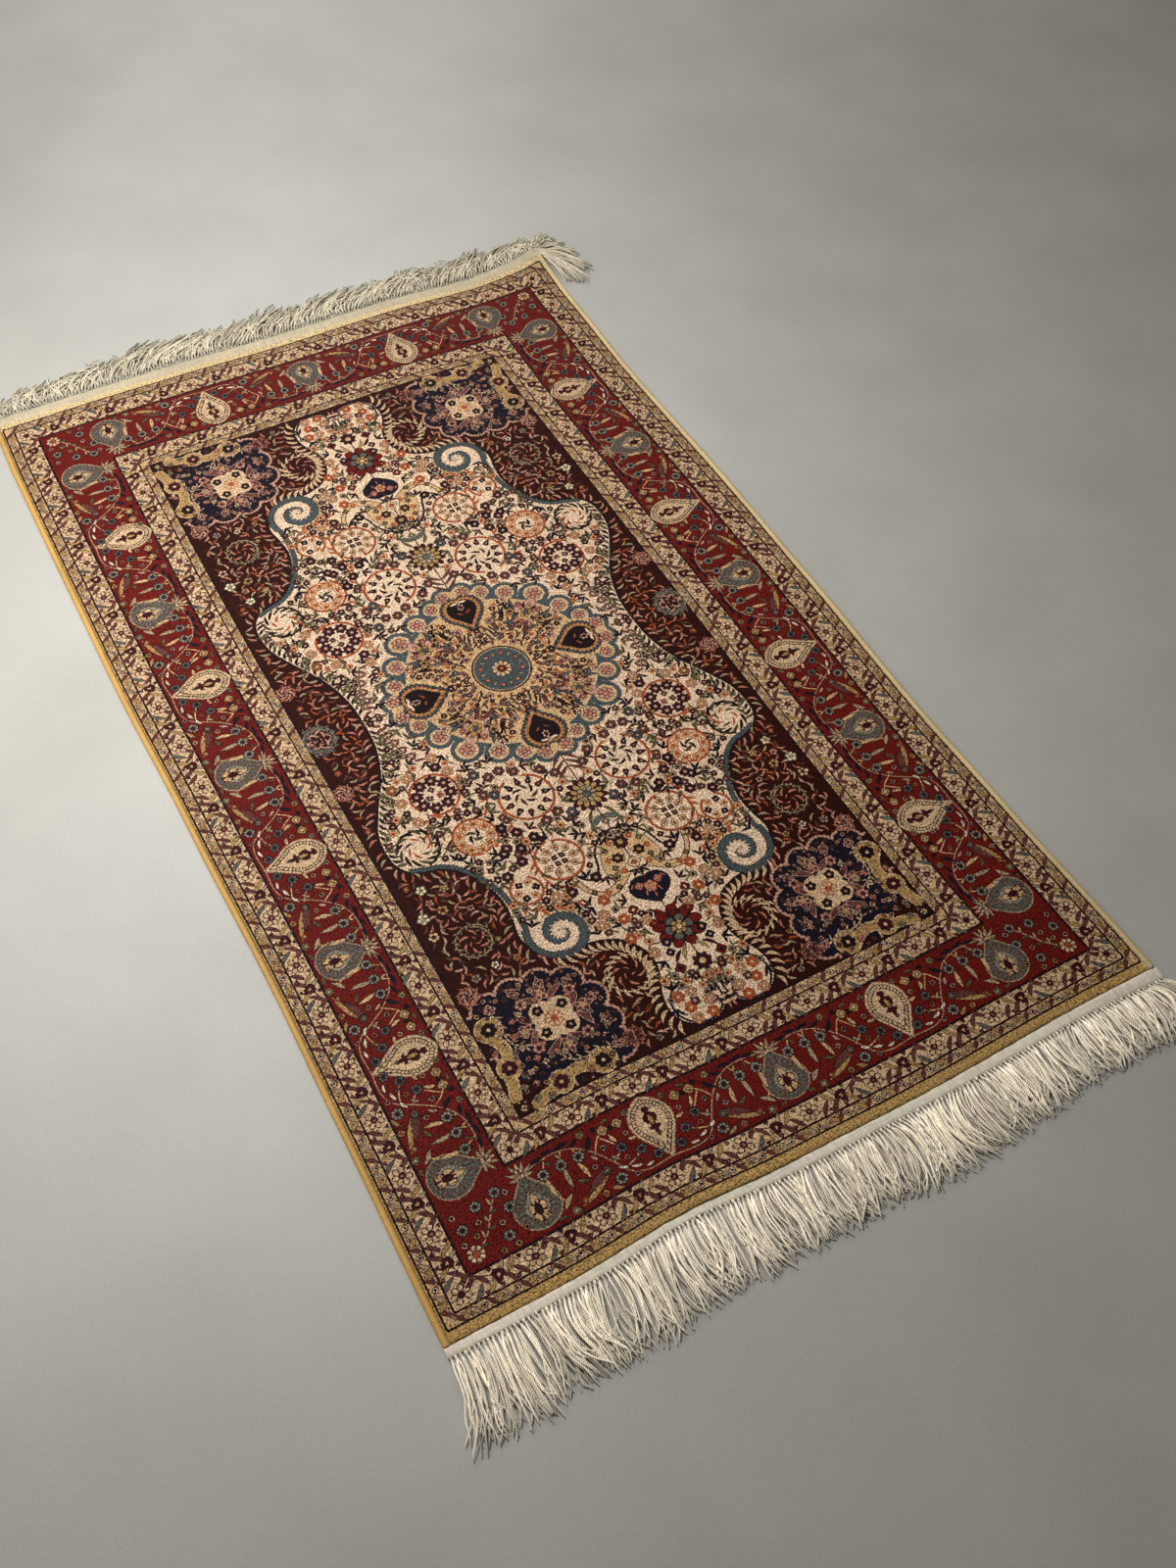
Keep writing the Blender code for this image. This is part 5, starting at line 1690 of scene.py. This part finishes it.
def facing(points, polygons, turned):
    """Mirrors points along Y and turns the faces round, for the near end, before lay()."""
    if not turned:
        return points, polygons
    return points * np.array([1, -1, 1]), [faces[:, ::-1] for faces in polygons]


class RUG_OT_foundation(bpy.types.Operator):
    """Adds the woven foundation that the knots are tied on"""

    bl_idname = "rug.foundation"
    bl_label = "Foundation"

    def execute(self, context):
        half_x = HALF_WIDTH - SIDE_CORD_WIDTH - FOUNDATION_INSET
        half_y = HALF_LENGTH - FOUNDATION_INSET
        xs = np.linspace(-half_x, half_x, CARPET_COLUMNS)
        ys = np.linspace(-half_y, half_y, CARPET_ROWS)
        x, y = np.meshgrid(xs, ys)
        ids = np.arange(x.size).reshape(x.shape)
        top = np.stack([ids[:-1, :-1], ids[:-1, 1:], ids[1:, 1:], ids[1:, :-1]], -1).reshape(-1, 4)
        rim = np.concatenate([ids[0, :-1], ids[:-1, -1], ids[-1, :0:-1], ids[:0:-1, 0]])
        ahead = np.roll(rim, -1)
        walls = np.stack([rim + x.size, ahead + x.size, ahead, rim], 1)
        upper = np.column_stack([x.ravel(), y.ravel(), np.full(x.size, FOUNDATION[1])])
        lower = np.column_stack([x.ravel(), y.ravel(), np.full(x.size, FOUNDATION[0])])
        points = lay(np.vstack([upper, lower]))
        polygons = [np.concatenate([top, top[:, ::-1] + x.size, walls])]
        mesh_piece("foundation", points, polygons, flat_weave(
            "woven warp and weft", context.scene.rug_colours.far_warp), 40)
        return {"FINISHED"}


# Each piece of the pile from the middle out, and how many rows its OFBake map is cut into.
PILES = {"pile_field": 0, "pile_guard": 9, "pile_border": 7, "pile_outer": 10}


class RUG_OT_pile(bpy.types.Operator):
    """Adds the knotted silk pile, one piece for each band of the design"""

    bl_idname = "rug.pile"
    bl_label = "Silk pile"

    def execute(self, context):
        cell = context.scene.rug_sizes.cell
        half_x, half_y = HALF_WIDTH - SIDE_CORD_WIDTH, HALF_LENGTH
        marks_x = [BANDS[band][0] / 1000 for band in ("field", "border inside", "border")]
        marks_y = [BANDS[band][1] / 1000 for band in ("field", "border inside", "border")]
        rim = (SHOULDER, SHOULDER * 0.35)
        xs = grid_lines(half_x, [*marks_x, *(half_x - d for d in rim)], cell)
        ys = grid_lines(half_y, [*marks_y, *(half_y - d for d in rim)], cell)
        middle_x, middle_y = (xs[1:] + xs[:-1]) / 2, (ys[1:] + ys[:-1]) / 2
        material = silk_pile(context.scene.rug_colours)
        design = draw_design(xs, ys)
        inner = None
        hole = (0, 0)
        for (name, rows), mark_x, mark_y in zip(PILES.items(), [*marks_x, half_x], [*marks_y, half_y]):
            inside = (np.abs(middle_y)[:, None] < mark_y) & (np.abs(middle_x)[None, :] < mark_x)
            box = [int(np.argmin(np.abs(lines - side))) for lines, side in (
                (xs, -mark_x), (xs, mark_x), (ys, -mark_y), (ys, mark_y))]
            keep = inside if inner is None else inside & ~inner[0]
            backs = [box]
            if inner is not None:
                left, right, near, far = inner[1]
                backs = [
                    (box[0], left, box[2], box[3]), (right, box[1], box[2], box[3]),
                    (left, right, box[2], near), (left, right, far, box[3])]
            piece, cells, maps = pile_slab(name, xs, ys, keep, backs, material)
            keep_design(piece, design, cells)
            slab_map(piece, *maps, rows, (mark_x, mark_y), hole)
            hole = (mark_x, mark_y)
            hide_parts("carpet")
            inner = (inside, box)
        return {"FINISHED"}


class RUG_OT_side_cords(bpy.types.Operator):
    """Adds the silk overcasting wound round the cord along each long side"""

    bl_idname = "rug.side_cords"
    bl_label = "Side cords"

    def execute(self, context):
        pitch = context.scene.rug_sizes.wrap_pitch
        sides, per_wrap = 10, 3
        half = (SIDE_CORD_WIDTH - CLEARANCE) / 2
        wraps = round(2 * HALF_LENGTH / pitch)
        ys = np.linspace(-HALF_LENGTH, HALF_LENGTH, wraps * per_wrap + 1)
        turns = np.arange(sides) * math.tau / sides + math.pi / sides
        phase = ys[:, None] / pitch + 0.5 * np.cos(turns)
        swell = 0.94 + 0.10 * np.abs(np.sin(math.pi * phase)) ** 0.7
        colours = context.scene.rug_colours
        for name, side, silk, colour in (
                ("overcast_left", -1, "gold silk overcasting", colours.left_overcast),
                # the right side takes the paler colour: painted light for the light that falls on that side
                ("overcast_right", 1, "silk overcasting with painted light", colours.right_overcast)):
            material = overcast_silk(silk, colour, pitch)
            x = side * (HALF_WIDTH - half) + half * 0.98 * swell * np.cos(turns)
            z = THICKNESS / 2 * 0.99 * (1 + swell * np.sin(turns))
            z = np.maximum(z, 0)
            y = ys[:, None] + 0 * x
            points = lay(np.stack([x, y, z], -1)).reshape(-1, 3)
            ids = np.arange(x.size).reshape(x.shape)
            ahead = np.roll(ids, -1, axis=1)
            quads = np.stack([ids[:-1], ids[1:], ahead[1:], ahead[:-1]], -1).reshape(-1, 4)
            piece = mesh_piece(name, points, [quads, ids[:1], ids[-1:, ::-1]], material, 60)
            fold_map(piece, len(ys), sides, 30)
            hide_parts("side_cord_left" if side < 0 else "side_cord_right")
        return {"FINISHED"}


class RUG_OT_fringes(bpy.types.Operator):
    """Adds the flat woven headings with their knots and the fringes that hang from them"""

    bl_idname = "rug.fringes"
    bl_label = "Headings and fringes"

    def execute(self, context):
        sizes = context.scene.rug_sizes
        colours = context.scene.rug_colours
        yarns = (two_ply_cord("two-ply warp cord", colours.warp),
                 two_ply_cord("two-ply worn warp cord", colours.far_warp))
        for end, table, style, turned, seed, colour, yarn in (
                ("near", NEAR_FRINGE, NEAR_STYLE, True, 5, colours.near_heading, yarns[0]),
                ("far", FAR_FRINGE, FAR_STYLE, False, 8, colours.far_heading, yarns[1])):
            woven = flat_weave(f"flat woven {end} heading", colour)
            random = np.random.default_rng(seed)
            band_points, band_faces = facing(*heading_band(table), turned)
            heading = mesh_piece(f"heading_{end}", lay(band_points), band_faces, woven, 50)
            fold_map(heading, HEADING_STATIONS, 11, 10, turned)
            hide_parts(f"fringe_{end}")
            roots = (np.arange(sizes.knots) + 0.5) / sizes.knots * 2 * HALF_WIDTH - HALF_WIDTH
            paths = fringe_paths(table, roots, sizes.cords, style, random)
            if not turned:
                paths = np.concatenate([paths, bunch_paths(random)])
                paths[..., 0] -= FAR_PULL * np.minimum(paths[..., 0] - FAR_LIMIT, 0)
            radii = np.full(paths.shape[:2], sizes.cord_radius) * random.uniform(0.85, 1.1, (len(paths), 1))
            radii[:, -1] *= 0.7
            fringe = add_cords(f"cords_{end}", paths, radii, CORD_SIDES, turned, yarn)
            row = add_cords(f"knots_{end}", *knots(table, roots, random), turned, yarn)
            for piece in (row, fringe):
                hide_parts(f"fringe_{end}")
        return {"FINISHED"}


FLOOR_HALF = 8
# The camera as it was fitted to the photo: its lens in millimetres, the ways that the picture's right, down
# and depth point, and its place in metres.
CAMERA_LENS = 35.648
CAMERA_RIGHT = (0.87383226, -0.48539493, 0.02844181)
CAMERA_DOWN = (-0.37523469, -0.71040497, -0.59541894)
CAMERA_FORWARD = (0.30921853, 0.50962393, -0.8029118)
CAMERA_PLACE = (-0.60563403, -1.22929414, 1.58101297)
WORLD_COLOUR = (1, 0.98, 0.95, 1)
WORLD_STRENGTH = 0.12
# Each lamp's name, place, the spot that it points at, its size in metres and its power in watts.
LIGHTS = (
    ("key", (-0.46, 0.46, 1.40), (-0.24, 0.24, 0), 0.4, 24),
    ("behind", (0.8, 3.2, 1.7), (0.2, 0.6, 0), 1.4, 40),
    ("side", (-1.9, 0.5, 1.1), (-0.4, 0.1, 0), 0.6, 7),
)


class RUG_OT_stage(bpy.types.Operator):
    """Adds the pale floor, the soft studio light and the camera"""

    bl_idname = "rug.stage"
    bl_label = "Stage"

    def execute(self, context):
        scene = context.scene
        mesh = bpy.data.meshes.new("floor")
        corners = [(x * FLOOR_HALF, y * FLOOR_HALF, 0) for x, y in ((-1, -1), (1, -1), (1, 1), (-1, 1))]
        mesh.from_pydata(corners, [], [(0, 1, 2, 3)])
        mesh.update()
        floor = bpy.data.objects.new("floor", mesh)
        scene.collection.objects.link(floor)
        mesh.materials.append(stone(scene.rug_colours.floor))
        camera_data = bpy.data.cameras.new("camera")
        camera_data.lens = CAMERA_LENS
        camera = bpy.data.objects.new("camera", camera_data)
        up, back = (tuple(-part for part in way) for way in (CAMERA_DOWN, CAMERA_FORWARD))
        rows = zip(CAMERA_RIGHT, up, back, CAMERA_PLACE)
        camera.matrix_world = Matrix([*rows, (0, 0, 0, 1)])
        scene.collection.objects.link(camera)
        scene.camera = camera
        world = bpy.data.worlds.new("studio")
        world.use_nodes = True
        world.node_tree.nodes["Background"].inputs["Color"].default_value = WORLD_COLOUR
        world.node_tree.nodes["Background"].inputs["Strength"].default_value = WORLD_STRENGTH
        scene.world = world
        for name, spot, aim, size, power in LIGHTS:
            light_data = bpy.data.lights.new(name, "AREA")
            light_data.size = size
            light_data.energy = power
            light = bpy.data.objects.new(name, light_data)
            way = Matrix.Translation(spot)
            look = (Vector(aim) - Vector(spot)).to_track_quat("-Z", "Y").to_matrix().to_4x4()
            light.matrix_world = way @ look
            scene.collection.objects.link(light)
        scene.view_settings.view_transform = "Standard"
        return {"FINISHED"}


STEPS = (RUG_OT_foundation, RUG_OT_pile, RUG_OT_side_cords, RUG_OT_fringes, RUG_OT_stage)


class RUG_PT_panel(bpy.types.Panel):
    bl_label = "Silk rug"
    bl_space_type = "VIEW_3D"
    bl_region_type = "UI"
    bl_category = "Silk rug"

    def draw(self, context):
        for group in (context.scene.rug_sizes, context.scene.rug_colours):
            for name in group.bl_rna.properties.keys():
                if name not in ("rna_type", "name"):
                    self.layout.prop(group, name)
        for step in STEPS:
            self.layout.operator(step.bl_idname)


CLASSES = (RugSizes, RugColours, *STEPS, RUG_PT_panel)


def register():
    for registered in CLASSES:
        bpy.utils.register_class(registered)
    bpy.types.Scene.rug_sizes = PointerProperty(type=RugSizes)
    bpy.types.Scene.rug_colours = PointerProperty(type=RugColours)


def unregister():
    del bpy.types.Scene.rug_colours
    del bpy.types.Scene.rug_sizes
    for registered in reversed(CLASSES):
        bpy.utils.unregister_class(registered)


def main():
    register()
    bpy.ops.rug.foundation()
    bpy.ops.rug.pile()
    bpy.ops.rug.side_cords()
    bpy.ops.rug.fringes()
    bpy.ops.rug.stage()
    for name in ("foundation", *PILES):
        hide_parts("carpet")
    bpy.context.view_layer.update()


if __name__ == "__main__":
    main()
